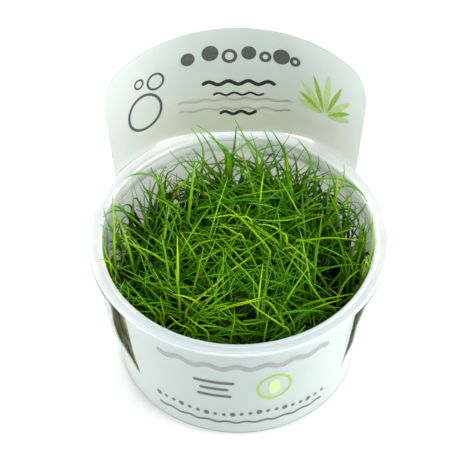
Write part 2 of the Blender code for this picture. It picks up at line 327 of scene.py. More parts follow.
def arc(centre: Point, radius: float, start: float, end: float, steps: int) -> Loop:
    """Points along a circle's arc, its turns given in degrees."""
    turns = [math.radians(start + (end - start) * i / steps) for i in range(steps + 1)]
    return [(centre[0] + radius * math.cos(t), centre[1] + radius * math.sin(t)) for t in turns]


# Patterns that the finishes share

def surface_noise(tree: NodeTree, grain: float, stretch: Place = (1, 1, 1), detail: float = 3) -> Node:
    """Noise on object coordinates with a grain of a real size.

    Args:
        tree: the material's node tree.
        grain: the size of the grain in millimetres.
        stretch: how much finer the grain is along x, y and z.
        detail: how many finer layers it holds.

    Returns:
        The noise node.
    """
    place = add_node(tree, "ShaderNodeTexCoord")
    mapped = add_node(tree, "ShaderNodeMapping", {"Vector": place.outputs["Object"], "Scale": stretch})
    return add_node(tree, "ShaderNodeTexNoise", {
        "Vector": mapped.outputs["Vector"],
        "Scale": 1 / (grain * MM),
        "Detail": detail,
    })


def fade(
    tree: NodeTree,
    axis: str,
    band: Band,
    start: float = 0.0,
    end: float = 1.0,
    both_sides: bool = False,
) -> NodeSocket:
    """Change a value along one axis of the piece.

    Args:
        tree: the material's node tree.
        axis: "X", "Y" or "Z".
        band: where the change starts and ends, in millimetres.
        start: the value at its start.
        end: the value at its end.
        both_sides: whether both sides of the axis are alike.

    Returns:
        The value.
    """
    place = add_node(tree, "ShaderNodeTexCoord")
    split = add_node(tree, "ShaderNodeSeparateXYZ", {"Vector": place.outputs["Object"]})
    along = split.outputs[axis]
    if both_sides:
        along = add_node(tree, "ShaderNodeMath", {0: along}, operation="ABSOLUTE").outputs[0]
    spread = add_node(tree, "ShaderNodeMapRange", {
        "Value": along,
        "From Min": band[0] * MM,
        "From Max": band[1] * MM,
        "To Min": start,
        "To Max": end,
    })
    return spread.outputs["Result"]


def layered(
    tree: NodeTree,
    ground: NodeSocket | tuple,
    layers: Iterable[tuple[NodeSocket, NodeSocket | tuple]],
) -> NodeSocket:
    """Lay colours over a ground colour, one after another.

    Args:
        tree: the material's node tree.
        ground: the lowest colour, as a socket or a linear colour.
        layers: how much of each layer covers what is below it, and its colour.

    Returns:
        The colour on top.
    """
    colour = ground
    for share, over in layers:
        mixed = add_node(tree, "ShaderNodeMix", {"Factor": share, "A": colour, "B": over}, data_type="RGBA")
        colour = mixed.outputs["Result"]
    return colour


# Finishes

@dataclass(frozen=True)
class Finish:
    """A surface finish: what it is called and how its shader is made.

    Its roughness lies between two values, and its grain has a strength and a depth.
    """

    name: str
    roughness: Band = (0.4, 0.5)
    grain_strength: float = 0.1
    grain_depth: float = 0.02

    def build(self) -> Material:
        """Make the material of this finish.

        Returns:
            The material, with one shader.
        """
        material = bpy.data.materials.new(self.name)
        material.use_nodes = True
        tree = material.node_tree
        tree.nodes.clear()
        surface = self.shader(tree)
        add_node(tree, "ShaderNodeOutputMaterial", {"Surface": surface.outputs["BSDF"]})
        return material

    def shader(self, tree: NodeTree) -> Node:
        """Add the nodes of this finish and return its Principled node."""
        raise NotImplementedError

    def uneven(self, tree: NodeTree, noise: Node, values: Band | None = None) -> NodeSocket:
        """Spread a noise between two values.

        Args:
            tree: the material's node tree.
            noise: the noise node.
            values: the lowest and the highest value, or None for the finish's roughness.

        Returns:
            The spread value.
        """
        low, high = values or self.roughness
        spread = add_node(tree, "ShaderNodeMapRange", {
            "Value": noise.outputs["Fac"],
            "From Min": NOISE_BAND[0],
            "From Max": NOISE_BAND[1],
            "To Min": low,
            "To Max": high,
        })
        return spread.outputs["Result"]

    def grained(self, tree: NodeTree, noise: Node) -> NodeSocket:
        """Raise a noise as a fine grain on the surface.

        Args:
            tree: the material's node tree.
            noise: the noise node.

        Returns:
            The normals of the grained surface.
        """
        bump = add_node(tree, "ShaderNodeBump", {
            "Strength": self.grain_strength,
            "Distance": self.grain_depth * MM,
            "Height": noise.outputs["Fac"],
        })
        return bump.outputs["Normal"]


@dataclass(frozen=True)
class MouldedPolypropylene(Finish):
    """Thin injection-moulded natural polypropylene.

    Hazy and nearly clear in the thin wall and milkier in the thick lip and foot, with a
    soft gloss from the polished mould and very faint flow marks that run up the wall.
    Where the gel lies on the wall, the plastic takes on its olive colour in streaks.
    """

    name: str = "natural polypropylene, injection-moulded"
    roughness: Band = (0.08, 0.15)
    grain_strength: float = 0.05
    ior: float = 1.49
    clearness: float = 0.1
    skin_grain: float = 0.5
    flow_mark: float = 6.0
    flow_stretch: Place = (1, 1, 0.25)
    milk_low: str = "#f3f9fa"
    milk_high: str = "#ffffff"
    milk_stops: Band = (0.3, 0.7)
    # Painted shade: towards the front the plastic is tinted greyer and bluer
    front_shade_tint: str = "#dbe6e8"
    front_shade_band: Band = (-37.0, -12.0)
    wall_tint: str = "#cdd6cb"
    wall_cover: float = 0.06
    lip_cover: float = 0.8
    lip_band: Band = (38.5, 43.6)
    filled_low: str = "#65622a"
    filled_high: str = "#b5b25c"
    filled_stops: Band = (0.35, 0.65)
    filled_cover: float = 0.72
    filled_band: Band = (20.0, 25.0)
    streak: float = 1.6
    streak_stretch: Place = (1, 1, 0.16)
    streak_detail: float = 4
    foot_cover: float = 0.6
    foot_band: Band = (1.1, 1.5)

    def filled(self, tree: NodeTree) -> NodeSocket:
        """Tell where the gel lies on the wall, as 1, from the free wall and the foot, as 0.

        Args:
            tree: the material's node tree.

        Returns:
            The share.
        """
        both = add_node(tree, "ShaderNodeMath", {
            0: fade(tree, "Z", self.filled_band, 1, 0),
            1: fade(tree, "Z", self.foot_band),
        }, operation="MULTIPLY")
        return both.outputs[0]

    def cover(self, tree: NodeTree, filled: NodeSocket) -> NodeSocket:
        """How much of what lies behind the plastic hides, the most of what its parts ask for.

        Args:
            tree: the material's node tree.
            filled: where the gel lies on the wall.

        Returns:
            The cover, from 0 for clear to 1.
        """
        by_gel = add_node(tree, "ShaderNodeMath", {0: filled, 1: self.filled_cover}, operation="MULTIPLY")
        by_foot = fade(tree, "Z", self.foot_band, self.foot_cover, 0)
        cover = fade(tree, "Z", self.lip_band, self.wall_cover, self.lip_cover)
        for other in (by_gel.outputs[0], by_foot):
            cover = add_node(tree, "ShaderNodeMath", {0: cover, 1: other}, operation="MAXIMUM").outputs[0]
        return cover

    def shader(self, tree: NodeTree) -> Node:
        """Add the milky, half clear plastic.

        Args:
            tree: the material's node tree.

        Returns:
            The Principled node.
        """
        flow = surface_noise(tree, self.flow_mark, self.flow_stretch)
        skin = surface_noise(tree, self.skin_grain)
        streaks = surface_noise(tree, self.streak, self.streak_stretch, self.streak_detail)
        milk = add_node(tree, "ShaderNodeValToRGB", {"Fac": flow.outputs["Fac"]}, stops=(
            (self.milk_stops[0], self.milk_low),
            (self.milk_stops[1], self.milk_high),
        ))
        olive = add_node(tree, "ShaderNodeValToRGB", {"Fac": streaks.outputs["Fac"]}, stops=(
            (self.filled_stops[0], self.filled_low),
            (self.filled_stops[1], self.filled_high),
        ))
        filled = self.filled(tree)
        colour = layered(tree, milk.outputs["Color"], (
            # painted shade, greyer and bluer towards the front
            (fade(tree, "Y", self.front_shade_band, 1, 0), linear(self.front_shade_tint)),
            (fade(tree, "Z", self.lip_band, 1, 0), linear(self.wall_tint)),
            (filled, olive.outputs["Color"]),
        ))
        return add_node(tree, "ShaderNodeBsdfPrincipled", {
            "Base Color": colour,
            "Roughness": self.uneven(tree, flow),
            "IOR": self.ior,
            "Transmission Weight": self.clearness,
            "Alpha": self.cover(tree, filled),
            "Normal": self.grained(tree, skin),
        })


@dataclass(frozen=True)
class SleeveSheet(Finish):
    """Extruded white polypropylene sheet of the sleeve.

    Matt, with a fine even grain from the rollers, and thin enough for some light
    to come through. Its colour holds painted light and shade: it is cool white and
    darker at the front, lighter at the back, where the inner wall lies in shade, and
    lighter towards the header's ends, with a darker, greener cast at the header's
    middle above the plants, a painted shade with a painted green reflection of the
    grass. The side that faces the cup is painted olive low down behind the two slits,
    in place of the dark contents seen there, darker behind the left slit as painted
    shade, and a fine grey line of painted shadow runs round the sheet at its foot.
    """

    name: str = "white polypropylene sheet, matt"
    roughness: Band = (0.4, 0.5)
    grain_strength: float = 0.12
    ior: float = 1.49
    light_through: float = 0.55
    roller_grain: float = 0.35
    # Painted light and shade: the sheet is darker at the front and lighter at the back, where the inner wall
    # lies in shade
    front_shade_tint: str = "#e2eeec"
    back_lit_tint: str = "#fbfdf9"
    depth_band: Band = (-34.0, 34.0)
    # Painted light and shade on the header: lighter towards its ends, darker in its middle, and darker and
    # greener at its foot, with a painted green reflection of the grass
    header_end_light_tint: str = "#e6ecea"
    header_middle_shade_tint: str = "#c9d3cf"
    header_foot_green_shade_tint: str = "#cad3b9"
    shaded_middle_band: Band = (36.0, 14.0)
    header_band: Band = (44.0, 47.0)
    shaded_foot_band: Band = (44.0, 70.0)
    cloud_tint: str = "#f4f6f4"
    cloud: float = 9.0
    cloud_share: float = 0.18
    # Painted shade: the inner side behind the slits is painted olive in place of the dark contents seen
    # there, darker behind the left slit
    contents_tint_left: str = "#b4ad68"
    contents_tint_right: str = "#f7f6c4"
    contents_across: Band = (-26.0, 26.0)
    contents_side: Band = (26.0, 29.0)
    contents_front: Band = (-13.0, -9.0)
    contents_back: Band = (1.5, 5.0)
    contents_top: Band = (19.0, 25.0)
    # Painted shadow: a fine grey line round the sheet at its foot
    foot_shadow_tint: str = "#8b99a6"
    foot_shadow_line: Band = (1.45, 1.6)

    def inner_side(self, tree: NodeTree) -> NodeSocket:
        """Tell the side that faces the cup, as 1, from the outer side, as 0.

        Args:
            tree: the material's node tree.

        Returns:
            The share.
        """
        place = add_node(tree, "ShaderNodeTexCoord")
        flat = add_node(tree, "ShaderNodeVectorMath", {
            0: place.outputs["Object"],
            1: (1, 1, 0),
        }, operation="MULTIPLY")
        facing = add_node(tree, "ShaderNodeVectorMath", {
            0: place.outputs["Normal"],
            1: flat.outputs["Vector"],
        }, operation="DOT_PRODUCT")
        inner = add_node(tree, "ShaderNodeMath", {0: facing.outputs["Value"], 1: 0.0}, operation="LESS_THAN")
        return inner.outputs[0]

    def painted_contents_share(self, tree: NodeTree) -> NodeSocket:
        """How far the inner side is painted olive low down behind the two slits, in place of the shaded
        contents.

        Args:
            tree: the material's node tree.

        Returns:
            The share.
        """
        share = self.inner_side(tree)
        for limit in (
            fade(tree, "X", self.contents_side, both_sides=True),
            fade(tree, "Y", self.contents_front),
            fade(tree, "Y", self.contents_back, 1, 0),
            fade(tree, "Z", self.contents_top, 1, 0),
        ):
            share = add_node(tree, "ShaderNodeMath", {0: share, 1: limit}, operation="MULTIPLY").outputs[0]
        return share

    def shader(self, tree: NodeTree) -> Node:
        """Add the matt sheet that lets some light through.

        Args:
            tree: the material's node tree.

        Returns:
            The Principled node.
        """
        cloud = surface_noise(tree, self.cloud)
        grain = surface_noise(tree, self.roller_grain)
        # the header's painted shade and light: darker and greener at its foot, darker in its middle, lighter
        # at its ends
        shaded_header_foot = layered(tree, linear(self.header_middle_shade_tint), (
            (fade(tree, "Z", self.shaded_foot_band, 1, 0), linear(self.header_foot_green_shade_tint)),
        ))
        header = layered(tree, linear(self.header_end_light_tint), (
            (fade(tree, "X", self.shaded_middle_band, both_sides=True), shaded_header_foot),
        ))
        contents_colour = layered(tree, linear(self.contents_tint_left), (
            (fade(tree, "X", self.contents_across), linear(self.contents_tint_right)),
        ))
        colour = layered(tree, linear(self.front_shade_tint), (
            # painted shade at the front, painted light at the back
            (fade(tree, "Y", self.depth_band), linear(self.back_lit_tint)),
            (fade(tree, "Z", self.header_band), header),
            (self.uneven(tree, cloud, (0, self.cloud_share)), linear(self.cloud_tint)),
            # painted olive and shade behind the slits
            (self.painted_contents_share(tree), contents_colour),
            # painted shadow line at the foot
            (fade(tree, "Z", self.foot_shadow_line, 1, 0), linear(self.foot_shadow_tint)),
        ))
        return add_node(tree, "ShaderNodeBsdfPrincipled", {
            "Base Color": colour,
            "Roughness": self.uneven(tree, grain),
            "IOR": self.ior,
            "Transmission Weight": self.light_through,
            "Normal": self.grained(tree, grain),
        })


@dataclass(frozen=True)
class PrintInk(Finish):
    """Offset printing ink on the sheet: a thin, slightly glossier film with small mottling."""

    roughness: Band = (0.32, 0.42)
    ior: float = 1.5
    colour: str = "#4b4e4d"
    mottle_colour: str = "#565958"
    mottle_stops: Band = (0.35, 0.65)
    mottle: float = 0.8

    def shader(self, tree: NodeTree) -> Node:
        """Add the ink film.

        Args:
            tree: the material's node tree.

        Returns:
            The Principled node.
        """
        mottle = surface_noise(tree, self.mottle)
        colour = add_node(tree, "ShaderNodeValToRGB", {"Fac": mottle.outputs["Fac"]}, stops=(
            (self.mottle_stops[0], self.colour),
            (self.mottle_stops[1], self.mottle_colour),
        ))
        return add_node(tree, "ShaderNodeBsdfPrincipled", {
            "Base Color": colour.outputs["Color"],
            "Roughness": self.uneven(tree, mottle),
            "IOR": self.ior,
        })


@dataclass(frozen=True)
class AgarGel(Finish):
    """Set agar full of roots and dead leaf bases, seen through the cup wall.

    Nearly black, partly from the roots in it and partly as painted shade, with upright
    olive and straw streaks where old stems and roots press against the wall, under a
    wet shine.
    """

    name: str = "agar growing gel with roots, set"
    roughness: Band = (0.18, 0.35)
    ior: float = 1.34
    specular: float = 0.2
    # Painted shade: this near-black is partly the roots' own dark and partly shade
    roots_and_shade_dark: tuple[float, str] = (0.38, "#17150a")
    middle: tuple[float, str] = (0.55, "#4a461c")
    straw: tuple[float, str] = (0.72, "#8f8a3e")
    streak: float = 1.4
    streak_stretch: Place = (1, 1, 0.16)
    streak_detail: float = 4

    def shader(self, tree: NodeTree) -> Node:
        """Add the dark, wet gel with its upright streaks.

        Args:
            tree: the material's node tree.

        Returns:
            The Principled node.
        """
        streaks = surface_noise(tree, self.streak, self.streak_stretch, self.streak_detail)
        stops = (self.roots_and_shade_dark, self.middle, self.straw)
        colour = add_node(tree, "ShaderNodeValToRGB", {"Fac": streaks.outputs["Fac"]}, stops=stops)
        return add_node(tree, "ShaderNodeBsdfPrincipled", {
            "Base Color": colour.outputs["Color"],
            "Roughness": self.uneven(tree, streaks),
            "IOR": self.ior,
            "Specular IOR Level": self.specular,
        })


@dataclass(frozen=True)
class PlantFibre(Finish):
    """A living or dead part of the plant, coloured along its length and from blade to blade.

    The attribute tone runs from 0 to 1 from blade to blade, and along runs from 0 at
    the root to 1 at the tip. Low down between the other blades little light is left,
    so the colour falls off to the foot's. A leaf has a waxy skin, which gives the soft
    shine on its upper side.
    """

    name: str = "hairgrass leaf, living"
    roughness: Band = (0.2, 0.3)
    ior: float = 1.34
    specular: float = 0.27
    dark: str = "#2f7003"
    middle: str = "#5ca304"
    light: str = "#aad806"
    foot: str = "#030601"
    foot_share: Band = (0.1, 0.6)
    shade_left: float = 0.09
    shade_band: Band = (28.5, 42.0)
    vein: float = 1.2
    vein_stretch: Place = (1, 1, 0.3)

    def shader(self, tree: NodeTree) -> Node:
        """Add the leaf's colours, its fine long veins and its waxy shine.

        Args:
            tree: the material's node tree.

        Returns:
            The Principled node.
        """
        tone = add_node(tree, "ShaderNodeAttribute", attribute_name="tone")
        along = add_node(tree, "ShaderNodeAttribute", attribute_name="along")
        vein = surface_noise(tree, self.vein, self.vein_stretch)
        body = add_node(tree, "ShaderNodeValToRGB", {"Fac": tone.outputs["Fac"]}, stops=(
            (0.0, self.dark),
            (0.5, self.middle),
            (1.0, self.light),
        ))
        # painted shade: the colour darkens towards each blade's foot and lower down among the blades
        lit_along = add_node(tree, "ShaderNodeMapRange", {
            "Value": along.outputs["Fac"],
            "From Min": self.foot_share[0],
            "From Max": self.foot_share[1],
        })
        grown = add_node(tree, "ShaderNodeMath", {
            0: lit_along.outputs["Result"],
            1: fade(tree, "Z", self.shade_band, self.shade_left, 1),
        }, operation="MULTIPLY")
        return add_node(tree, "ShaderNodeBsdfPrincipled", {
            "Base Color": layered(tree, linear(self.foot), ((grown.outputs[0], body.outputs["Color"]),)),
            "Roughness": self.uneven(tree, vein),
            "IOR": self.ior,
            "Specular IOR Level": self.specular,
        })


@dataclass(frozen=True)
class StudioPaper(Finish):
    """Seamless white background paper: matt, with a hardly visible fibre mottle."""

    name: str = "seamless background paper, white"
    matt: float = 0.85
    specular: float = 0.2
    low: tuple[float, str] = (0.3, "#f6f7f6")
    high: tuple[float, str] = (0.7, "#fbfbfa")
    mottle: float = 30.0

    def shader(self, tree: NodeTree) -> Node:
        """Add the white paper.

        Args:
            tree: the material's node tree.

        Returns:
            The Principled node.
        """
        mottle = surface_noise(tree, self.mottle)
        stops = (self.low, self.high)
        colour = add_node(tree, "ShaderNodeValToRGB", {"Fac": mottle.outputs["Fac"]}, stops=stops)
        return add_node(tree, "ShaderNodeBsdfPrincipled", {
            "Base Color": colour.outputs["Color"],
            "Roughness": self.matt,
            "Specular IOR Level": self.specular,
        })


# The cup

@dataclass
class Cup:
    """The tapered tub with its floor, its flat lip, the bead inside the lip and the short skirt.

    The corners of the lip run from the mouth over the bead to the skirt's inside, and
    those of the foot from the wall to the middle of the shallow recess in the base,
    each by radius and height. The floor's curve is given by its distance from the
    wall and its height above the floor.
    """

    base_radius: float = 32.2
    slope: float = 0.113
    wall: float = 0.7
    floor: float = 1.2
    mouth_radius: float = 36.3
    mouth_foot: float = 43.4
    mouth_curve: float = 1.5
    height: float = 45.3
    rim_radius: float = 39.9
    steps: int = 192
    inner_levels: tuple[float, ...] = (2.4, 8, 16, 24, 32, 38, 42, 43.2)
    outer_levels: tuple[float, ...] = (44.3, 42, 38, 32, 24, 16, 8, 2, 0.8)
    floor_curve: tuple[Point, ...] = ((1.9, 0), (0.9, 0.16), (0.25, 0.62))
    lip: tuple[Point, ...] = (
        (36.45, 43.42), (mouth_radius, 43.6), (mouth_radius, 44.85), (36.42, 45.16), (36.72, height),
        (37.25, height), (37.42, 45.18), (37.52, 45.04), (38.9, 45.0), (39.25, 45.18), (39.5, height),
        (39.74, 45.18), (rim_radius, 44.88), (39.84, 44.3), (39.68, 44.12), (39.42, 44.1), (39.1, 44.4),
        (38.6, 44.45),
    )
    foot: tuple[Point, ...] = (
        (32.1, 0.45), (31.9, 0.12), (31.5, 0), (29.8, 0), (29.4, 0.3), (3.2, 0.3), (2.8, 0.12), (0, 0.12),
    )
    finish: MouldedPolypropylene = field(default_factory=MouldedPolypropylene)

    def outer_radius(self, height: float) -> float:
        """The wall's outer radius at a height, both in millimetres."""
        return self.base_radius + self.slope * height

    def inner_radius(self, height: float) -> float:
        """The free radius inside the cup at a height, both in millimetres."""
        inside = self.outer_radius(height) - self.wall
        return min(inside, self.mouth_radius) if height > self.mouth_foot - self.mouth_curve else inside

    def profile(self) -> list[Point]:
        """The half section, from the middle of the inside floor over the lip to the base.

        Returns:
            Radius and height of each corner in millimetres.
        """
        inner = self.outer_radius(self.inner_levels[0]) - self.wall
        return [
            (0, self.floor),
            *((inner - off, self.floor + up) for off, up in self.floor_curve),
            *((self.outer_radius(h) - self.wall, h) for h in self.inner_levels),
            *self.lip,
            *((self.outer_radius(h), h) for h in self.outer_levels),
            *self.foot,
        ]

    def build(self) -> Object:
        """Turn the cup and dress it in milky plastic.

        Returns:
            The cup.
        """
        mesh = turned("culture_cup", self.profile(), self.steps)
        shade(mesh, TURNED_SHARP)
        mesh.materials.append(self.finish.build())
        cup = place_in_scene("culture_cup", mesh)
        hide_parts("cup")
        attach(cup, BODY)
        return cup


# The sleeve

@dataclass
class Sleeve:
    """One sheet cut flat and rolled round the cup, with a band, a front panel and a tall header."""

    foot_radius: float = 32.85
    wall_slope: float = 0.113
    sheet: float = 0.35
    foot: float = 1.2
    band_top: float = 43.2
    turn: float = math.radians(1.5)
    flat_radius: float = 45.0
    seam_angle: float = math.radians(-90)
    lip_height: float = 45.3
    standoff: float = 1.2
    standoff_start: float = 6.0
    standoff_rise: float = 14.0
    standoff_span: float = math.radians(25)
    side_lean_start: float = 33.0
    side_lean: float = 0.098
    header_half: float = math.radians(54.9)
    header_top: float = 80.298
    header_drop: float = 3.0
    header_corner: float = 9.0
    header_free: float = math.radians(80)
    corner_steps: int = 16
    top_steps: int = 40
    edge_radius_at_lip: float = 40.65
    edge_slope: float = 0.085
    middle_radius_at_lip: float = 38.05
    middle_slope: float = 0.1445
    dent_half: float = math.radians(36)
    slot_half: float = math.radians(33.2)
    slot_top: float = 45.65
    slot_foot: float = 41.7
    slot_steps: int = 12
    slit_foot: float = 13.0
    slit_angle: float = math.radians(54.3)
    slit_foot_angle: float = math.radians(52.2)
    slit_straight: float = 25.0
    slit_steps: int = 24
    slit_crowding: float = 1.6
    narrow_slit: float = math.radians(0.9)
    wide_slit_foot: float = math.radians(1.0)
    wide_slit_middle: float = math.radians(11.5)
    wide_slit_top: float = math.radians(4.5)
    wide_slit_widest: float = 27.0
    triangle: float = 1.6
    finish: SleeveSheet = field(default_factory=SleeveSheet)

    def slit_edge(self, height: float) -> float:
        """The angle of a slit's front edge from the front's middle."""
        bend = smooth((self.slit_straight - height) / (self.slit_straight - self.slit_foot))
        return self.slit_angle + (self.slit_foot_angle - self.slit_angle) * bend

    def wide_slit(self, height: float) -> float:
        """The left slit's width, where the side bows away from the panel.

        Args:
            height: the height in millimetres.

        Returns:
            The width as an angle.
        """
        if height < self.wide_slit_widest:
            share = math.sqrt(max(0.0, height - self.slit_foot) / (self.wide_slit_widest - self.slit_foot))
            return self.wide_slit_foot + (self.wide_slit_middle - self.wide_slit_foot) * share
        share = smooth((height - self.wide_slit_widest) / (self.band_top - self.wide_slit_widest))
        return self.wide_slit_middle + (self.wide_slit_top - self.wide_slit_middle) * share

    def near_radius(self, height: float) -> float:
        """The outer radius of the sheet where it lies on the cup."""
        return self.foot_radius + self.wall_slope * height

    def side_radius(self, from_front: float, height: float) -> float:
        """The outer radius of the sides, which stand off the cup behind the slits.

        Args:
            from_front: the angle from the front's middle.
            height: the height in millimetres.

        Returns:
            The radius in millimetres.
        """
        share = smooth((from_front - self.slit_angle) / self.standoff_span)
        start = self.slit_foot + (self.standoff_start - self.slit_foot) * share
        off = self.standoff * smooth((height - start) / self.standoff_rise)
        return self.near_radius(height) + off + self.side_lean * max(0.0, height - self.side_lean_start)

    def back_radius(self, from_back: float, height: float) -> float:
        """The outer radius of the back and the header, drawn in at the middle by the slot.

        Args:
            from_back: the angle from the back's middle.
            height: the height in millimetres.

        Returns:
            The radius in millimetres.
        """
        at_lip = self.near_radius(self.lip_height)
        above = max(0.0, height - self.lip_height)
        share = min(height, self.lip_height) / self.lip_height
        middle = (self.middle_radius_at_lip - at_lip) * share + self.middle_slope * above
        edge = (self.edge_radius_at_lip - at_lip) * smooth(share) + self.edge_slope * above
        dent = smooth(1 - from_back / self.dent_half)
        return self.near_radius(min(height, self.lip_height)) + edge + (middle - edge) * dent

    def radius(self, angle: float, height: float) -> float:
        """The sheet's outer radius.

        Args:
            angle: the angle from the back's middle, before the sleeve's turn.
            height: the height in millimetres.

        Returns:
            The radius in millimetres.
        """
        from_front = abs(abs(angle) - math.pi) if angle < math.pi else angle - math.pi
        if from_front < self.slit_edge(height) + self.narrow_slit / 3:
            return self.near_radius(height)
        side = self.side_radius(from_front, height)
        from_back = math.pi - from_front
        share = smooth((self.header_free - from_back) / (self.header_free - self.header_half))
        return side + (self.back_radius(from_back, height) - side) * share

    def on_sheet(self, x: float, height: float, out: float = 0.0) -> Vector:
        """Where a place on the flat sheet ends up on the rolled one.

        Args:
            x: the way round on the flat sheet, in millimetres from the back's middle.
            height: the height in millimetres.
            out: how far outside the sheet's outer side, in millimetres.

        Returns:
            The place in metres.
        """
        angle = x / self.flat_radius
        radius = (self.radius(angle, height) + out) * MM
        turned_angle = angle - self.turn
        return Vector((radius * math.sin(turned_angle), radius * math.cos(turned_angle), height * MM))

    def header_outline(self) -> Loop:
        """The header's edge, from its right foot over the top to its left foot.

        Returns:
            Its points on the flat sheet.
        """
        half = self.header_half * self.flat_radius
        reach = half - self.header_corner
        top_radius = (reach * reach + self.header_drop ** 2) / (2 * self.header_drop)
        spread = math.degrees(math.asin(reach / top_radius))
        corner = self.header_top - self.header_drop - self.header_corner
        right = arc((reach, corner), self.header_corner, 0, 90 - spread, self.corner_steps)
        top = arc((0, self.header_top - top_radius), top_radius, 90 - spread, 90 + spread, self.top_steps)
        left = arc((-reach, corner), self.header_corner, 90 + spread, 180, self.corner_steps)
        return [(half, self.band_top), *right, *top[1:-1], *left, (-half, self.band_top)]

    def slit_outline(self, side: int, width: Callable[[float], float]) -> Loop:
        """One slit, open at the band's top edge.

        Args:
            side: 1 for the right slit and -1 for the left one.
            width: the slit's width as an angle at a height.

        Returns:
            Its points, from the top of the edge at larger angles down and up again.
        """
        shares = [(i / self.slit_steps) ** self.slit_crowding for i in range(self.slit_steps + 1)]
        levels = [self.slit_foot + (self.band_top - self.slit_foot) * share for share in shares]
        front = [(math.pi - side * self.slit_edge(h), h) for h in levels]
        back = [(math.pi - side * (self.slit_edge(h) + width(h)), h) for h in levels]
        first, last = (front, back) if side == 1 else (back, front)
        return [(a * self.flat_radius, h) for a, h in first[::-1] + last]

    def slot_outline(self) -> Loop:
        """The slot with its half-round ends.

        Returns:
            Its points on the flat sheet.
        """
        end = (self.slot_top - self.slot_foot) / 2
        reach = self.slot_half * self.flat_radius - end
        middle = (self.slot_top + self.slot_foot) / 2
        left = arc((-reach, middle), end, 270, 90, self.slot_steps)
        right = arc((reach, middle), end, 90, -90, self.slot_steps)
        return left + right

    def sheet_outline(self) -> Loop:
        """The whole cut sheet's edge, counterclockwise from the lower left.

        Returns:
            Its points on the flat sheet.
        """
        start = self.seam_angle * self.flat_radius
        end = start + math.tau * self.flat_radius
        return [
            (start, self.foot),
            (end, self.foot),
            (end, self.band_top),
            *self.slit_outline(-1, self.wide_slit),
            *self.slit_outline(1, lambda height: self.narrow_slit),
            *self.header_outline(),
            (start, self.band_top),
        ]

    def build(self) -> Object:
        """Cut the sheet, roll it round the cup, weld its ends and give it its thickness.

        Returns:
            The sleeve.
        """
        mesh = flat_mesh("label_sleeve_sheet", [self.sheet_outline(), self.slot_outline()], self.triangle)
        for v in mesh.vertices:
            v.co = self.on_sheet(v.co.x, v.co.y)
        bm = bmesh.new()
        bm.from_mesh(mesh)
        bmesh.ops.remove_doubles(bm, verts=bm.verts, dist=WELD)
        bmesh.ops.recalc_face_normals(bm, faces=bm.faces)
        if sum(f.normal.xy @ f.calc_center_median().xy for f in bm.faces) < 0:
            bmesh.ops.reverse_faces(bm, faces=bm.faces)
        bm.to_mesh(mesh)
        bm.free()
        sleeve = place_in_scene("label_sleeve_sheet", mesh)
        thickness = sleeve.modifiers.new("Sheet thickness", "SOLIDIFY")
        thickness.thickness = self.sheet * MM
        thickness.offset = -1
        apply_modifiers(sleeve)
        shade(sleeve.data, SHEET_SHARP)
        sleeve.data.materials.append(self.finish.build())
        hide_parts("label_sleeve")
        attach(sleeve, BODY)
        return sleeve


# The printed design

# Each motif starts with its angle in degrees from the middle of the back, or of the front for
# the panel, and its height, and ends with its own sizes in millimetres

# Discs: radius
HEADER_DISCS = ((-17.5, 71.6, 2.1), (-9.0, 72.6, 2.5), (5.4, 72.4, 2.2), (17.6, 72.0, 2.5))

# Rings: radius and width of the line
HEADER_RINGS = ((-1.8, 71.4, 2.3, 1.0), (11.6, 71.4, 1.8, 1.0), (22.8, 71.2, 1.6, 1.0))
SIDE_RINGS = ((-36.5, 58.6, 6.2, 0.85), (-30.6, 67.4, 2.9, 0.7), (-37.6, 69.0, 1.7, 0.6))
PANEL_RING = ((14, 24.2, 6.2, 1.0),)

# Waves: length, swell, period and width of the line
HEADER_WAVES = (
    (-12, 62.6, 21.5, 0.6, 6.1, 1.2),
    (-8, 58.8, 15.2, 0.45, 5.0, 0.7),
    (-5.5, 52.4, 11.0, 0.5, 5.2, 1.0),
)
BACK_WAVES = ((-22, 56.8, 34.5, 0.45, 6.4, 0.7), (-22, 53.6, 34.5, 0.45, 6.4, 0.7))
WALL_WAVES = (
    (-60, 39.6, 26, 0.4, 4.6, 0.8),
    (-58, 36.6, 22, 0.4, 4.6, 0.8),
    (6, 40.6, 25, 0.4, 4.6, 0.8),
    (9, 37.6, 30, 0.4, 4.6, 0.8),
)
PANEL_WAVE = ((37, 35.4, 57, 0.75, 9.5, 2.1),)
FOOT_WAVE = ((40, 7.0, 63, 0.35, 7.0, 0.9),)

# Leaf: length, width and direction in degrees
PANEL_LEAF = ((14, 20.0, 8.4, 4.2, 90),)

# Bars: length and width
PANEL_BARS = ((-12, 27.6, 14, 1.3), (-12, 24.2, 10, 1.3), (-12, 20.8, 12, 1.3))

# Leaves round the rosette's heart: direction in degrees and length
ROSETTE_LEAVES = ((18, 8.5), (48, 11.5), (90, 13.5), (132, 11.5), (162, 8.5))
ROSETTE_HEART = ((33, 9.5), (69, 12.5), (111, 12.5), (147, 9.5))


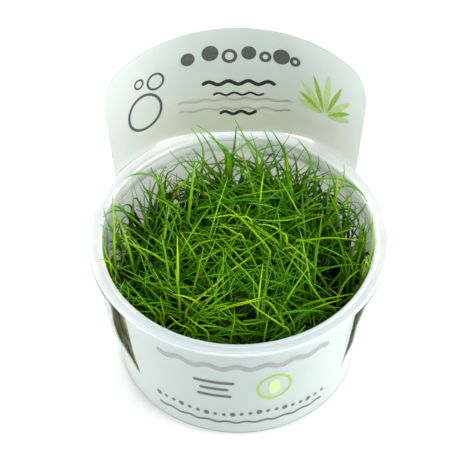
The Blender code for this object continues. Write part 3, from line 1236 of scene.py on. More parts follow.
@dataclass
class PrintedDesign:
    """Plain motifs printed on the sleeve: waves, bubbles, bars and leaf shapes."""

    sleeve: Sleeve
    film: float = 0.03
    gap: float = 0.01
    triangle: float = 0.8
    disc_steps: int = 28
    ring_steps: int = 44
    cap_steps: int = 8
    wave_step: float = 0.9
    wave_least: int = 12
    leaf_steps: int = 12
    leaf_fullness: float = 0.8
    rosette_place: Point = (36.5, 56)
    rosette_heart: float = 1.1
    leaf_width: float = 2.1
    heart_width: float = 1.5
    dot_reach: int = 40
    dot_step: int = 4
    dot_height: float = 11.4
    dot_swell: float = 0.5
    dot_pace: float = 7
    dot_radius: float = 0.72
    big_dot_radius: float = 1.05
    big_dot_every: int = 3

    def disc(self, centre: Point, radius: float) -> list[Loop]:
        """A filled circle."""
        return [arc(centre, radius, 0, 360, self.disc_steps)[:-1]]

    def ring(self, centre: Point, radius: float, line: float) -> list[Loop]:
        """A circle drawn with a line of a given width."""
        return [arc(centre, size, 0, 360, self.ring_steps)[:-1] for size in (radius, radius - line)]

    def wave(self, start: Point, length: float, swell: float, period: float, line: float) -> list[Loop]:
        """A wavy stroke with round ends.

        Args:
            start: its left end.
            length: how far it runs.
            swell: how far it swings up and down.
            period: the length of one wave.
            line: the stroke's width.

        Returns:
            Its outline.
        """
        steps = max(self.wave_least, round(length / self.wave_step))
        steepest = swell * math.tau / period
        upper, lower = [], []
        for i in range(steps + 1):
            x = length * i / steps
            phase = math.tau * x / period
            slope = steepest * math.cos(phase)
            size = math.hypot(1, slope)
            across = (-slope / size * line / 2, line / 2 / size)
            y = swell * math.sin(phase)
            upper.append((start[0] + x + across[0], start[1] + y + across[1]))
            lower.append((start[0] + x - across[0], start[1] + y - across[1]))
        tilt = math.degrees(math.atan(slope))
        first_tilt = math.degrees(math.atan(steepest))
        last = (start[0] + length, start[1] + y)
        tail = arc(last, line / 2, tilt - 90, tilt + 90, self.cap_steps)[1:-1]
        head = arc(start, line / 2, first_tilt + 90, first_tilt + 270, self.cap_steps)[1:-1]
        return [lower + tail + upper[::-1] + head]

    def leaf(self, foot: Point, length: float, width: float, turn: float) -> list[Loop]:
        """A pointed oval that grows from its foot.

        Args:
            foot: where it starts.
            length: its length.
            width: its width at the middle.
            turn: its direction in degrees, 90 upright.

        Returns:
            Its outline.
        """
        c, s = math.cos(math.radians(turn)), math.sin(math.radians(turn))
        shares = [i / self.leaf_steps for i in range(self.leaf_steps + 1)]
        side = [(length * t, width / 2 * math.sin(math.pi * t) ** self.leaf_fullness) for t in shares]
        loop = side + [(x, -y) for x, y in side[-2:0:-1]]
        return [[(foot[0] + x * c - y * s, foot[1] + x * s + y * c) for x, y in loop]]

    def bar(self, centre: Point, length: float, line: float) -> list[Loop]:
        """A straight bar with round ends.

        Args:
            centre: its middle.
            length: its length.
            line: its width.

        Returns:
            Its outline.
        """
        half = (length - line) / 2
        right = arc((centre[0] + half, centre[1]), line / 2, -90, 90, self.cap_steps)
        left = arc((centre[0] - half, centre[1]), line / 2, 90, 270, self.cap_steps)
        return [right + left]

    def rosette(self, width: float, leaves: Sequence[Point]) -> list[list[Loop]]:
        """Leaves that spread from the rosette's heart.

        Args:
            width: the width of each leaf.
            leaves: the direction in degrees and the length of each.

        Returns:
            The outline of each leaf.
        """
        x, y = self.back(*self.rosette_place)
        shapes = []
        for turn, length in leaves:
            c, s = math.cos(math.radians(turn)), math.sin(math.radians(turn))
            foot = (x + self.rosette_heart * c, y + self.rosette_heart * s)
            shapes.append(self.leaf(foot, length, width, turn))
        return shapes

    def dots(self) -> list[list[Loop]]:
        """A row of dots along the front panel that swings up and down, with some bigger ones.

        Returns:
            The outline of each dot.
        """
        shapes = []
        for i, turn in enumerate(range(-self.dot_reach, self.dot_reach + 1, self.dot_step)):
            height = self.dot_height + self.dot_swell * math.sin(turn / self.dot_pace)
            radius = self.dot_radius if i % self.big_dot_every else self.big_dot_radius
            shapes.append(self.disc(self.front(turn, height), radius))
        return shapes

    def printed(self, name: str, face: Face, ink: Ink, shapes: Sequence[list[Loop]]) -> Object:
        """Print shapes on one side of the sheet.

        Args:
            name: the piece's name.
            face: the side that is printed.
            ink: the ink.
            shapes: the outlines of each shape, on the flat sheet in millimetres.

        Returns:
            The ink film.
        """
        bm = bmesh.new()
        for shape in shapes:
            flat = flat_mesh(name, shape, self.triangle)
            bm.from_mesh(flat)
            bpy.data.meshes.remove(flat)
        out = self.gap if face is Face.OUTSIDE else -self.sleeve.sheet - self.gap
        for v in bm.verts:
            v.co = self.sleeve.on_sheet(v.co.x, v.co.y, out)
        for f in bm.faces:
            f.normal_update()
            if (f.normal.xy @ f.calc_center_median().xy) * face.value < 0:
                f.normal_flip()
        mesh = bpy.data.meshes.new(name)
        bm.to_mesh(mesh)
        bm.free()
        piece = place_in_scene(name, mesh)
        film = piece.modifiers.new("Ink film", "SOLIDIFY")
        film.thickness = self.film * MM
        film.offset = 1
        apply_modifiers(piece)
        shade(piece.data, SHEET_SHARP)
        called, colour, mottle_colour = ink.value
        finish = PrintInk(f"offset ink, {called}", colour=colour, mottle_colour=mottle_colour)
        piece.data.materials.append(finish.build())
        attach(piece, BODY)
        return piece

    def back(self, degrees: float, height: float) -> Point:
        """A place on the header or on the band at the back, by its angle from the back's middle."""
        return math.radians(degrees) * self.sleeve.flat_radius, height

    def front(self, degrees: float, height: float) -> Point:
        """A place on the front panel, by its angle to the right of the front's middle."""
        return (math.pi - math.radians(degrees)) * self.sleeve.flat_radius, height

    def drawn(self, shape: Callable, place: Callable, rows: Iterable[tuple]) -> list[list[Loop]]:
        """Draw a shape for each row of a table: its angle, its height and the shape's own sizes."""
        return [shape(place(*row[:2]), *row[2:]) for row in rows]

    def build(self) -> list[Object]:
        """Print the header's two sides, the band's inside and the front panel's outside.

        Returns:
            The ink films, one for each motif.
        """
        bubbles = self.drawn(self.disc, self.back, HEADER_DISCS)
        bubbles += self.drawn(self.ring, self.back, HEADER_RINGS)
        marks = self.drawn(self.bar, self.front, PANEL_BARS) + self.dots()
        films = (
            ("header_bubbles", Face.INSIDE, Ink.CHARCOAL, bubbles),
            ("header_waves", Face.INSIDE, Ink.BLACK, self.drawn(self.wave, self.back, HEADER_WAVES)),
            ("header_rings", Face.INSIDE, Ink.CHARCOAL, self.drawn(self.ring, self.back, SIDE_RINGS)),
            ("header_rosette", Face.INSIDE, Ink.PALE_GREEN, self.rosette(self.leaf_width, ROSETTE_LEAVES)),
            ("header_rosette_heart", Face.INSIDE, Ink.GREEN, self.rosette(self.heart_width, ROSETTE_HEART)),
            ("header_back_waves", Face.OUTSIDE, Ink.PALE_GREY, self.drawn(self.wave, self.back, BACK_WAVES)),
            ("inner_wall_waves", Face.INSIDE, Ink.PALE_GREY, self.drawn(self.wave, self.back, WALL_WAVES)),
            ("panel_wave", Face.OUTSIDE, Ink.GREY, self.drawn(self.wave, self.front, PANEL_WAVE)),
            ("panel_ring", Face.OUTSIDE, Ink.GREEN, self.drawn(self.ring, self.front, PANEL_RING)),
            ("panel_leaf", Face.OUTSIDE, Ink.PALE_GREEN, self.drawn(self.leaf, self.front, PANEL_LEAF)),
            ("panel_bars", Face.OUTSIDE, Ink.CHARCOAL, marks),
            ("panel_foot_wave", Face.OUTSIDE, Ink.CHARCOAL, self.drawn(self.wave, self.front, FOOT_WAVE)),
        )
        return [self.printed(*film) for film in films]


# Blades and roots, swept by geometry nodes

@dataclass(frozen=True)
class Strand:
    """One blade or root: the places along its middle line in metres, its thickness and its tone."""

    path: list[Vector]
    thickness: float
    tone: float


@dataclass
class StrandTree:
    """A geometry node tree that sweeps a small section along strands, thinning towards their tips.

    The section is one unit across, so that the strand's thickness is its scale.
    """

    name: str
    tip_share: float = 0.18
    taper: float = 2.6
    sides: int = 4
    section_radius: float = 0.5
    inputs: tuple[tuple[str, str], ...] = (
        ("Strands", "Geometry"),
        ("Tip Share", "Float"),
        ("Taper", "Float"),
        ("Sides", "Int"),
        ("Material", "Material"),
    )

    def build(self) -> NodeTree:
        """Make the tree with its named inputs.

        Returns:
            The node tree.
        """
        tree = bpy.data.node_groups.new(self.name, "GeometryNodeTree")
        for name, kind in self.inputs:
            tree.interface.new_socket(name, in_out="INPUT", socket_type=f"NodeSocket{kind}")
        tree.interface.new_socket("Geometry", in_out="OUTPUT", socket_type="NodeSocketGeometry")
        given = add_node(tree, "NodeGroupInput").outputs
        line = add_node(tree, "GeometryNodeMeshToCurve", {"Mesh": given["Strands"]})
        along = add_node(tree, "GeometryNodeSplineParameter").outputs["Factor"]
        marked = add_node(tree, "GeometryNodeStoreNamedAttribute", {
            "Geometry": line.outputs["Curve"],
            "Name": "along",
            "Value": along,
        }, data_type="FLOAT", domain="POINT")
        thinned = add_node(tree, "ShaderNodeMath", {0: along, 1: given["Taper"]}, operation="POWER")
        loss = add_node(tree, "ShaderNodeMath", {0: 1.0, 1: given["Tip Share"]}, operation="SUBTRACT")
        lost = add_node(tree, "ShaderNodeMath", {
            0: thinned.outputs[0],
            1: loss.outputs[0],
        }, operation="MULTIPLY")
        left = add_node(tree, "ShaderNodeMath", {0: 1.0, 1: lost.outputs[0]}, operation="SUBTRACT")
        girth = add_node(tree, "GeometryNodeInputNamedAttribute", {"Name": "girth"}, data_type="FLOAT")
        scale = add_node(tree, "ShaderNodeMath", {
            0: left.outputs[0],
            1: girth.outputs[0],
        }, operation="MULTIPLY")
        section = add_node(tree, "GeometryNodeCurvePrimitiveCircle", {
            "Resolution": given["Sides"],
            "Radius": self.section_radius,
        })
        swept = add_node(tree, "GeometryNodeCurveToMesh", {
            "Curve": marked.outputs["Geometry"],
            "Profile Curve": section.outputs["Curve"],
            "Scale": scale.outputs[0],
            "Fill Caps": True,
        })
        soft = add_node(tree, "GeometryNodeSetShadeSmooth", {"Geometry": swept.outputs["Mesh"]})
        real = add_node(tree, "GeometryNodeRealizeInstances", {"Geometry": soft.outputs["Geometry"]})
        dressed = add_node(tree, "GeometryNodeSetMaterial", {
            "Geometry": real.outputs["Geometry"],
            "Material": given["Material"],
        })
        add_node(tree, "NodeGroupOutput", {"Geometry": dressed.outputs["Geometry"]})
        return tree

    def sweep(self, name: str, strands: Sequence[Strand], material: Material) -> Object:
        """Sweep the section along strands.

        Args:
            name: the piece's name.
            strands: the blades or roots.
            material: their material.

        Returns:
            One object with a plain mesh.
        """
        tree = self.build()
        points, edges, girth, tone = [], [], [], []
        for strand in strands:
            start = len(points)
            points.extend(strand.path)
            edges.extend((start + i, start + i + 1) for i in range(len(strand.path) - 1))
            girth.extend([strand.thickness * MM] * len(strand.path))
            tone.extend([strand.tone] * len(strand.path))
        mesh = bpy.data.meshes.new(name)
        mesh.from_pydata(points, edges, [])
        for attribute, numbers in (("girth", girth), ("tone", tone)):
            mesh.attributes.new(attribute, "FLOAT", "POINT").data.foreach_set("value", numbers)
        piece = place_in_scene(name, mesh)
        sweep = piece.modifiers.new("Swept strands", "NODES")
        sweep.node_group = tree
        values = {
            "Tip Share": self.tip_share,
            "Taper": self.taper,
            "Sides": self.sides,
            "Material": material,
        }
        for item in tree.interface.items_tree:
            if item.in_out == "INPUT" and item.name in values:
                sweep[item.identifier] = values[item.name]
        apply_modifiers(piece)
        return piece


# The growing gel

ROOT_FIBRE = PlantFibre(
    name="hairgrass root, wet",
    dark="#3a3a1c",
    middle="#7c7a44",
    light="#b9b67c",
    foot="#4d4c26",
    roughness=(0.25, 0.4),
    shade_band=(-8.0, 4.0),
)

OLD_STEM_FIBRE = PlantFibre(
    name="old hairgrass stem, wet",
    dark="#605b25",
    middle="#9d9a44",
    light="#adbb50",
    foot="#77733a",
    roughness=(0.3, 0.45),
    shade_band=(-8.0, 4.0),
)


@dataclass
class GrowingGel:
    """The dark plug of agar in the lower part of the cup, with roots and old stems along the wall.

    A pair holds the least and the most of what is drawn by chance, but a sway is how
    far a strand swings to its sides and how fast. The shoulder is given by its
    distance from the side and its height. Old stems stand by their angle from the
    front's middle, in degrees.
    """

    cup: Cup
    foot: float = 1.5
    top: float = 23.0
    gap: float = 0.3
    chamfer: float = 2.0
    chamfer_turns: tuple[float, ...] = (0, 18, 36, 54, 72, 90)
    side_levels: tuple[float, ...] = (6, 10, 14, 18, 21.5)
    shoulder: tuple[Point, ...] = ((0.2113, 22.7), (0.7, 23.0))
    top_rings: tuple[float, ...] = (28, 22, 16, 10, 5)
    sag: float = 0.25
    swell: float = 0.2
    swell_pace: float = 1.1
    middle_sag: float = 0.3
    steps: int = 128
    seed: int = 5
    strand_steps: int = 8
    sway_offset: float = 9
    root_count: int = 420
    root_start: float = 12
    root_below_top: float = 0.5
    root_length: Band = (6, 18)
    root_drift: Band = (-0.16, 0.16)
    root_sway: Band = (0.02, 7)
    root_foot: float = 4.0
    root_proud: float = 0.02
    root_girth: Band = (0.14, 0.32)
    stem_count: int = 95
    stem_turn: Band = (45.0, 72.0)
    stem_foot: Band = (14, 24)
    stem_tip: Place = (28, 38, 36)
    stem_drift: float = 0.05
    stem_sway: Band = (0.012, 6)
    stem_depth: Band = (0.35, 2.2)
    stem_crowding: float = 1.5
    stem_girth: Band = (0.6, 1.4)
    finish: AgarGel = field(default_factory=AgarGel)

    def side(self, height: float) -> float:
        """The gel's radius at a height, in millimetres."""
        return self.cup.outer_radius(height) - self.cup.wall - self.gap

    def plug(self) -> Object:
        """The gel itself, with its edges rounded and its top slightly uneven.

        Returns:
            The plug of gel.
        """
        foot_side = self.side(self.foot + self.chamfer)
        turns = [math.radians(turn) for turn in self.chamfer_turns]
        profile = [
            (0, self.foot),
            *((foot_side - self.chamfer * (1 - math.sin(t)), self.foot + self.chamfer * (1 - math.cos(t)))
              for t in turns),
            *((self.side(h), h) for h in self.side_levels),
            *((self.side(h) - off, h) for off, h in self.shoulder),
            *((r, self.top - self.sag - self.swell * math.sin(r * self.swell_pace)) for r in self.top_rings),
            (0, self.top - self.middle_sag),
        ]
        mesh = turned("gel_plug", profile, self.steps)
        shade(mesh, TURNED_SHARP)
        mesh.materials.append(self.finish.build())
        return place_in_scene("gel_plug", mesh)

    def along_wall(self, turn: float, drift: float, sway: Band, places: Sequence[Point]) -> list[Vector]:
        """A strand's path up or down the cup's wall.

        Args:
            turn: where it starts, as an angle round the cup's axis.
            drift: how far it drifts round, as an angle.
            sway: how far and how fast it swings to its sides.
            places: its radius and height at even shares of its length.

        Returns:
            The places along it, in metres.
        """
        path = []
        for i, (radius, height) in enumerate(places):
            share = i / self.strand_steps
            angle = turn + drift * share + sway[0] * math.sin(sway[1] * share + turn * self.sway_offset)
            path.append(Vector((radius * MM * math.cos(angle), radius * MM * math.sin(angle), height * MM)))
        return path

    def roots(self) -> Object:
        """Fine roots that run down the gel's side, against the cup's wall.

        Returns:
            The roots, as one piece.
        """
        rng = random.Random(self.seed)
        strands = []
        for _ in range(self.root_count):
            turn = rng.uniform(0, math.tau)
            top = rng.uniform(self.root_start, self.top - self.root_below_top)
            length = rng.uniform(*self.root_length)
            drift = rng.uniform(*self.root_drift)
            shares = (i / self.strand_steps for i in range(self.strand_steps + 1))
            heights = [max(self.root_foot, top - length * share) for share in shares]
            places = [(self.side(height) + self.root_proud, height) for height in heights]
            path = self.along_wall(turn, drift, self.root_sway, places)
            strands.append(Strand(path, rng.uniform(*self.root_girth), rng.random()))
        tree = StrandTree("Root strands", tip_share=0.4, taper=1.5)
        return tree.sweep("gel_roots", strands, ROOT_FIBRE.build())

    def stems(self) -> Object:
        """Old stems and leaf bases that stand against the wall behind the sleeve's slits.

        Returns:
            The stems, as one piece.
        """
        rng = random.Random(self.seed + 1)
        strands = []
        for i in range(2 * self.stem_count):
            side = 1 if i % 2 else -1
            turn = math.radians(-90 + side * rng.uniform(*self.stem_turn))
            foot = rng.uniform(*self.stem_foot)
            tip = rng.triangular(*self.stem_tip)
            drift = rng.gauss(0, self.stem_drift)
            least, most = self.stem_depth
            depth = least + most * rng.random() ** self.stem_crowding + self.gap / 2
            shares = (k / self.strand_steps for k in range(self.strand_steps + 1))
            heights = [foot + (tip - foot) * share for share in shares]
            places = [(self.cup.inner_radius(height) - depth, height) for height in heights]
            path = self.along_wall(turn, drift, self.stem_sway, places)
            strands.append(Strand(path, rng.uniform(*self.stem_girth), rng.random()))
        tree = StrandTree("Stem strands", tip_share=0.5, taper=2.0)
        return tree.sweep("old_stems", strands, OLD_STEM_FIBRE.build())

    def build(self) -> list[Object]:
        """Build the gel, its roots and the old stems.

        Returns:
            The three pieces.
        """
        plug = self.plug()
        roots = self.roots()
        stems = self.stems()
        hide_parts("growing_gel")
        for piece in (plug, roots, stems):
            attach(piece, BODY)
        return [plug, roots, stems]


# The grass

# Blades placed one by one: thickness and tone, then places in millimetres up to the tip

LONG_BLADES = (
    ((1.15, 0.62), ((-20.6, 19.2, 42), (-21.5, 20.8, 42.9), (-23, 22.4, 43.9), (-25, 22.5, 44.8),
     (-27, 22.1, 45.5), (-29.5, 20.5, 46.3), (-30.9, 19.1, 46.6))),
    ((0.8, 0.35), ((-24.3, 21.5, 36), (-25.8, 20.2, 42.1), (-27.3, 20.5, 46))),
    ((0.9, 0.62), ((-29.2, 13.8, 34), (-28.6, 14.6, 40), (-28.7, 15.8, 43.6), (-29.3, 17.8, 46))),
    ((1.15, 0.9), ((-32.8, -6.1, 31), (-33, -3.2, 35.4), (-33.3, 0.1, 39.5), (-33.3, 4.8, 44.2),
     (-33.6, 8.1, 46.5), (-33.8, 11.8, 48))),
    ((0.85, 0.4), ((-29.8, 14.4, 34), (-30.5, 12.5, 39.3), (-31.2, 11.2, 43.8), (-32.4, 10.8, 46))),
    ((0.9, 0.6), ((-29.5, 14.8, 34), (-30.7, 12.9, 39.9), (-32.3, 11.6, 43.7), (-33.4, 10.1, 45))),
    ((0.85, 0.6), ((-29.4, 7.5, 37), (-30.5, 7.2, 39.6), (-32.4, 7.4, 43.6), (-33.6, 8.9, 46))),
    ((0.85, 0.5), ((-32.3, 6, 38), (-33.2, 4.8, 40.1), (-34.2, 3.6, 43.1), (-35.5, 2.2, 45.6),
     (-36.8, 2, 47.5))),
    ((0.95, 0.6), ((-3.3, 32.5, 40), (-3.8, 31.5, 44.1), (-5.5, 29.7, 49.3), (-8, 27.9, 55.6),
     (-11.3, 26.6, 60))),
    ((0.95, 0.6), ((-10.2, 28.8, 38), (-9.9, 28, 41.8), (-9.5, 27.3, 46.7), (-9.7, 26.9, 50.8),
     (-11, 26.7, 55.1), (-12.7, 27.3, 58))),
    ((1.1, 0.45), ((-2.2, 26.4, 36), (-2.1, 25.9, 44.1), (-2.5, 26, 49.2), (-3.7, 25.8, 52),
     (-6.5, 25.1, 55.7), (-8.1, 25.2, 57))),
    ((0.8, 0.75), ((-2.8, 27.3, 47), (-3.2, 26.1, 51), (-3.1, 26.2, 53))),
    ((1.25, 0.6), ((-14.2, 8.6, 35), (-13.5, 10.6, 40.7), (-12.7, 13.5, 46.8), (-12.2, 16, 50.4),
     (-11.7, 18.1, 52.6), (-11.8, 20.8, 54))),
    ((0.8, 0.5), ((-13.8, 22.9, 42), (-12.4, 22.5, 45.5), (-11, 22.6, 48.7), (-9.1, 23.2, 51))),
    ((0.9, 0.45), ((-20, 25.5, 40), (-17.7, 23.9, 45.2), (-16, 23.9, 48))),
    ((0.85, 0.45), ((-21.7, 24.7, 40), (-21, 23.6, 44.3), (-19.7, 23.2, 47))),
    ((0.85, 0.7), ((-21.3, 22.3, 41), (-22.2, 22.4, 45.3), (-23.1, 23, 47))),
    ((0.85, 0.6), ((0.5, 13.2, 40), (-1.2, 13.8, 42.4), (-4, 13.8, 45), (-7.2, 14.2, 47))),
    ((0.95, 0.85), ((-15.7, 9.4, 38), (-15.7, 10.6, 39.4), (-16.6, 12, 41), (-19.1, 13, 43.1),
     (-22.8, 14.1, 45))),
    ((0.95, 1.0), ((-20.3, 1.9, 36), (-19.8, 4.4, 40.2), (-19.3, 6.8, 42.9), (-18.7, 10.2, 45))),
    ((0.85, 0.8), ((-22.5, 11.1, 37), (-21.3, 10.7, 41.3), (-20.1, 11.3, 44))),
    ((1.1, 0.72), ((6.7, -19.7, 36), (7.3, -12.2, 39.3), (7.5, -8.3, 40.8), (8.1, -6, 41.7),
     (8.4, -3.4, 42.7), (6.2, -0.5, 43.9), (3.4, 2.4, 45.3), (0.3, 5.4, 46.5), (-3, 8, 47.5),
     (-5.9, 9.9, 48))),
    ((1.15, 1.0), ((13.1, 1.7, 41), (11.9, 3.3, 42.3), (9.8, 4.3, 43.5), (7.5, 4.5, 44.4), (5.4, 4.1, 45))),
    ((0.9, 1.0), ((1.6, 2, 41), (-0.5, 2.5, 43.1), (-2.5, 2.8, 44.7), (-4.8, 3.6, 46))),
    ((0.95, 0.85), ((3.7, 6.7, 43), (0, 7.2, 44.5), (-2.5, 7.1, 45.4), (-5.6, 5.5, 46.4), (-8.6, 4.5, 47))),
    ((1.0, 0.6), ((17.8, 10.2, 40), (13.7, 8.2, 42.1), (9.8, 6.3, 43.9), (6.7, 5.5, 45.1), (3.6, 5.2, 46))),
    ((0.95, 0.8), ((-13, -2.2, 40), (-12, -0.9, 40.8), (-9.9, 0.3, 41.9), (-6.6, 0.2, 43.1), (-3, -0, 44))),
    ((0.95, 0.75), ((-10.7, -5.8, 40), (-8.6, -4.7, 41.4), (-6.1, -3.9, 42.8), (-2.5, -3.2, 44))),
    ((0.95, 0.5), ((3.6, 1.2, 40), (1.1, 1.4, 41.4), (-2, 1.4, 42.9), (-5.1, 1.2, 44.1), (-8.4, 0.9, 45))),
    ((0.9, 0.6), ((-1.8, -1.7, 41), (1.1, -2.5, 42.3), (5.9, -2.1, 44))),
    ((0.95, 0.7), ((17, -0.2, 40), (14.9, -0.6, 40.9), (12.3, -1.7, 41.8), (10.2, -4.1, 42.6),
     (9.2, -6.4, 43))),
    ((0.95, 0.7), ((18.1, 10.8, 38), (16.1, 11.8, 41.8), (14.3, 13.1, 45.1), (11.9, 15.4, 48.7),
     (9.8, 16.6, 50))),
    ((0.95, 1.0), ((5.8, 13.5, 38), (5.9, 14.1, 40.5), (6.3, 16.2, 46.1), (6.9, 19.1, 49))),
    ((0.8, 0.5), ((-3.6, 11.1, 40), (-2.5, 11, 44), (-0.5, 12, 48))),
    ((1.0, 0.8), ((15.3, 1.9, 40), (17.7, 1.7, 41.1), (21, 1.1, 42.5), (24.4, 0.5, 43.7),
     (28.8, -1.2, 45.2), (32.5, -2.3, 46))),
    ((0.95, 0.95), ((-13.8, -20.9, 38), (-13, -19.5, 38.8), (-10.5, -17.6, 40.3), (-8, -16, 41.6),
     (-5.8, -14.7, 42.7), (-3, -12.2, 44), (1.2, -9.5, 45.5), (3.5, -8.2, 46))),
    ((0.95, 0.6), ((-11.7, -25.3, 36), (-10.5, -22.5, 38.1), (-9, -19.8, 39.9), (-6.5, -17.5, 41.8),
     (-3.5, -14.8, 43.6), (0.3, -12, 45))),
    ((1.0, 0.85), ((13.4, -27.2, 38), (11.2, -26.1, 39.8), (7.9, -25, 42), (4.9, -23.8, 43.7),
     (2, -21.7, 45))),
    ((0.95, 0.9), ((12, -25.6, 38), (10.7, -23, 39.5), (9, -20.6, 40.8), (7.2, -19.4, 41.7),
     (4.5, -20.3, 42.7), (2, -21.7, 43.5), (-0.5, -23.1, 44))),
    ((0.8, 0.45), ((3, -16.5, 40), (4.5, -16.4, 40.8), (9.5, -15.6, 43.4), (14, -14.2, 45))),
    ((0.9, 0.75), ((-7.7, -28.6, 37), (-8.4, -27.3, 39), (-11.1, -26.7, 41.4), (-13.6, -25.4, 43))),
    ((0.9, 0.8), ((-12.2, -26.1, 37), (-15.4, -26.5, 40.8), (-17.8, -25.4, 43))),
    ((0.9, 0.6), ((6.7, -28.6, 37), (7.2, -26.6, 39.6), (7.9, -23.1, 42))),
    ((0.85, 0.6), ((-2, -28.6, 37), (-1.2, -26, 40.2), (-1, -23.1, 42))),
    ((0.9, 0.8), ((-1, -23.7, 38), (1.5, -25.7, 39.6), (4, -26.3, 40.9), (6.9, -26.5, 42))),
    ((0.9, 0.7), ((14.7, -25.5, 37), (13.7, -23.8, 39.7), (12.2, -22.4, 41.9), (10.4, -21.4, 43))),
    ((1.0, 0.7), ((25.5, -19, 37), (24, -18.5, 38), (21.7, -17.3, 39.6), (19.7, -15.1, 41.3),
     (17.7, -12.4, 43), (15.8, -10.4, 44.1), (13.6, -8, 45))),
    ((0.95, 0.6), ((31.5, -2.7, 36), (28.1, -2.9, 39.5), (25.1, -2.9, 42.1), (21.8, -2.7, 44))),
    ((0.9, 0.8), ((30.8, -5.2, 36), (29.8, -4.7, 40.5), (28.4, -3.6, 43))),
    ((0.9, 0.55), ((28.4, -5.1, 35), (26.7, -4.4, 39), (24.9, -3.6, 41))),
    ((0.95, 0.75), ((26.3, -14.1, 35), (26.8, -13.1, 37.1), (27.9, -12, 39.3), (29.7, -11, 41.5),
     (31.9, -10, 43))),
    ((0.8, 0.85), ((33.2, -8.6, 42), (34.3, -9.1, 44.5), (35.5, -9, 46.2))),
    ((0.8, 0.9), ((33.1, -6.5, 42), (34.3, -9.8, 44.6), (35.1, -12.9, 46.2))),
    ((0.95, 0.5), ((18.3, -7.1, 39), (21.6, -8.4, 41.7), (24.1, -9, 43))),
    ((0.8, 0.9), ((34.2, 1.6, 38), (34.3, 0.6, 42.7), (34.4, 0.9, 46))),
    ((0.8, 0.7), ((33.1, 5, 42), (34.4, 4.9, 44.6), (36.5, 3.2, 46.5))),
    ((1.0, 0.55), ((33.4, 3.7, 34), (33.2, 3.2, 40.5), (32.8, 4.4, 45))),
    ((0.9, 0.7), ((25.6, 5.6, 38), (27.4, 5, 40.5), (30.2, 3.7, 43.5), (32.4, 3.3, 45))),
    ((0.85, 0.9), ((-33.9, -6.6, 40), (-34.7, -7.1, 42.9), (-35.7, -7.9, 44.7), (-37.1, -10, 46.3))),
    ((1.15, 0.75), ((-24.5, -1, 37), (-26.1, -0.3, 38.8), (-27.8, 0.3, 40.3), (-30.1, 0.9, 42),
     (-32.2, 2, 43))),
    ((0.9, 0.6), ((-24.3, 0.1, 37), (-25.8, 0.4, 39.1), (-27.8, 1.2, 41.8), (-30.1, 3, 44))),
    ((0.85, 0.55), ((-31.7, -2.5, 34), (-31.1, -1.7, 36.8), (-30.2, -0.6, 39.8), (-28.8, 1.3, 42))),
    ((0.95, 0.55), ((-15.7, -11.3, 38), (-20.7, -12, 39.5), (-24, -12.4, 40.5), (-26.3, -12.3, 41.1),
     (-28.7, -11.4, 41.6), (-31.1, -10, 42))),
    ((0.95, 0.8), ((-20.5, -20, 37), (-23.3, -19.2, 39.2), (-26.1, -18.9, 40.9), (-28.6, -17.8, 42))),
    ((0.95, 0.95), ((-29.1, -14.5, 36), (-28.8, -15.7, 40.5), (-29, -15.8, 43))),
    ((0.85, 0.6), ((-21.7, -9, 37), (-23.2, -8.7, 40.9), (-24.1, -7.3, 43))),
    ((0.9, 0.8), ((-17.5, -0.9, 39), (-19.5, -0.7, 41.4), (-21.7, -0.3, 43.6), (-23.9, 0.3, 45))),
    ((0.9, 0.85), ((-19.5, -20.7, 36), (-19.9, -20.3, 40.4), (-20.4, -19, 43))),
    ((0.9, 0.7), ((-17.5, -5.3, 39), (-19.9, -5.7, 41.3), (-22.4, -5.1, 43))),
    ((1.05, 0.45), ((9.3, 26.8, 38), (8, 26.8, 42.9), (6.4, 26.7, 46.9), (4.9, 26.5, 49.8),
     (2.9, 26.6, 53.4), (0.7, 26.5, 56.1), (-1.8, 26.6, 58))),
    ((0.95, 0.45), ((6.2, 26.4, 38), (5.4, 25.6, 45.5), (4.9, 25.6, 51.1), (4.3, 26.1, 54),
     (3.4, 27.3, 56))),
    ((0.95, 0.6), ((-2.8, 28.6, 44), (-1.6, 28.4, 46.8), (0.5, 27.5, 49.9), (3.1, 26.8, 53.3),
     (5.3, 26.8, 55))),
    ((0.9, 0.5), ((5, 28.6, 44), (5.6, 29.3, 46.3), (7.3, 29, 48.2), (9.4, 28.3, 50), (11.3, 27.6, 51))),
    ((0.8, 0.7), ((5.3, 28.6, 46), (5.6, 27.4, 49.3), (5.9, 27, 52))),
    ((0.95, 0.5), ((12.6, 25.3, 37), (14, 24.5, 40.5), (16.8, 23.2, 45.5), (19.7, 23.3, 49))),
    ((0.85, 0.4), ((11.1, 26.8, 38), (13.3, 24.3, 43), (15.6, 22.7, 46))),
    ((0.85, 0.5), ((18.9, 26.8, 38), (20.8, 24.2, 43.5), (22.6, 23.2, 47))),
    ((0.95, 0.5), ((26.9, 19, 35), (26.7, 19.9, 41.1), (26, 20.8, 44.6), (25.1, 21.7, 47),
     (23.9, 23.5, 49))),
    ((1.0, 0.85), ((26.9, 14.7, 33), (26.8, 16.1, 40.5), (26.9, 17.8, 45.2), (27.3, 19.2, 47.6),
     (29.1, 20.1, 49))),
    ((1.1, 0.6), ((18.4, 21.3, 43), (21, 21.7, 43.6), (24.6, 21.4, 44.3), (28.1, 20.4, 45),
     (31.2, 17.8, 45.6), (33.4, 14.6, 46.1), (34.8, 10.8, 46.4))),
    ((0.95, 0.55), ((24.6, 19.2, 41), (27, 19.4, 42.5), (29.8, 18.8, 44.1), (32.1, 16.6, 45.2),
     (33.8, 13.4, 46))),
    ((0.9, 0.5), ((24.2, 13, 39), (27.4, 13.1, 41.7), (30.2, 13, 43.7), (32.5, 12.1, 44.9),
     (34, 10.4, 45.5))),
    ((0.85, 0.9), ((26.6, 21.8, 39), (24.6, 20.6, 42.9), (23.6, 21.5, 46))),
    ((0.95, 0.8), ((30.5, 14.7, 33), (30, 15.7, 40.8), (29.3, 16.7, 43.8), (28.8, 18.7, 46))),
)

# Dried blades, placed the same way

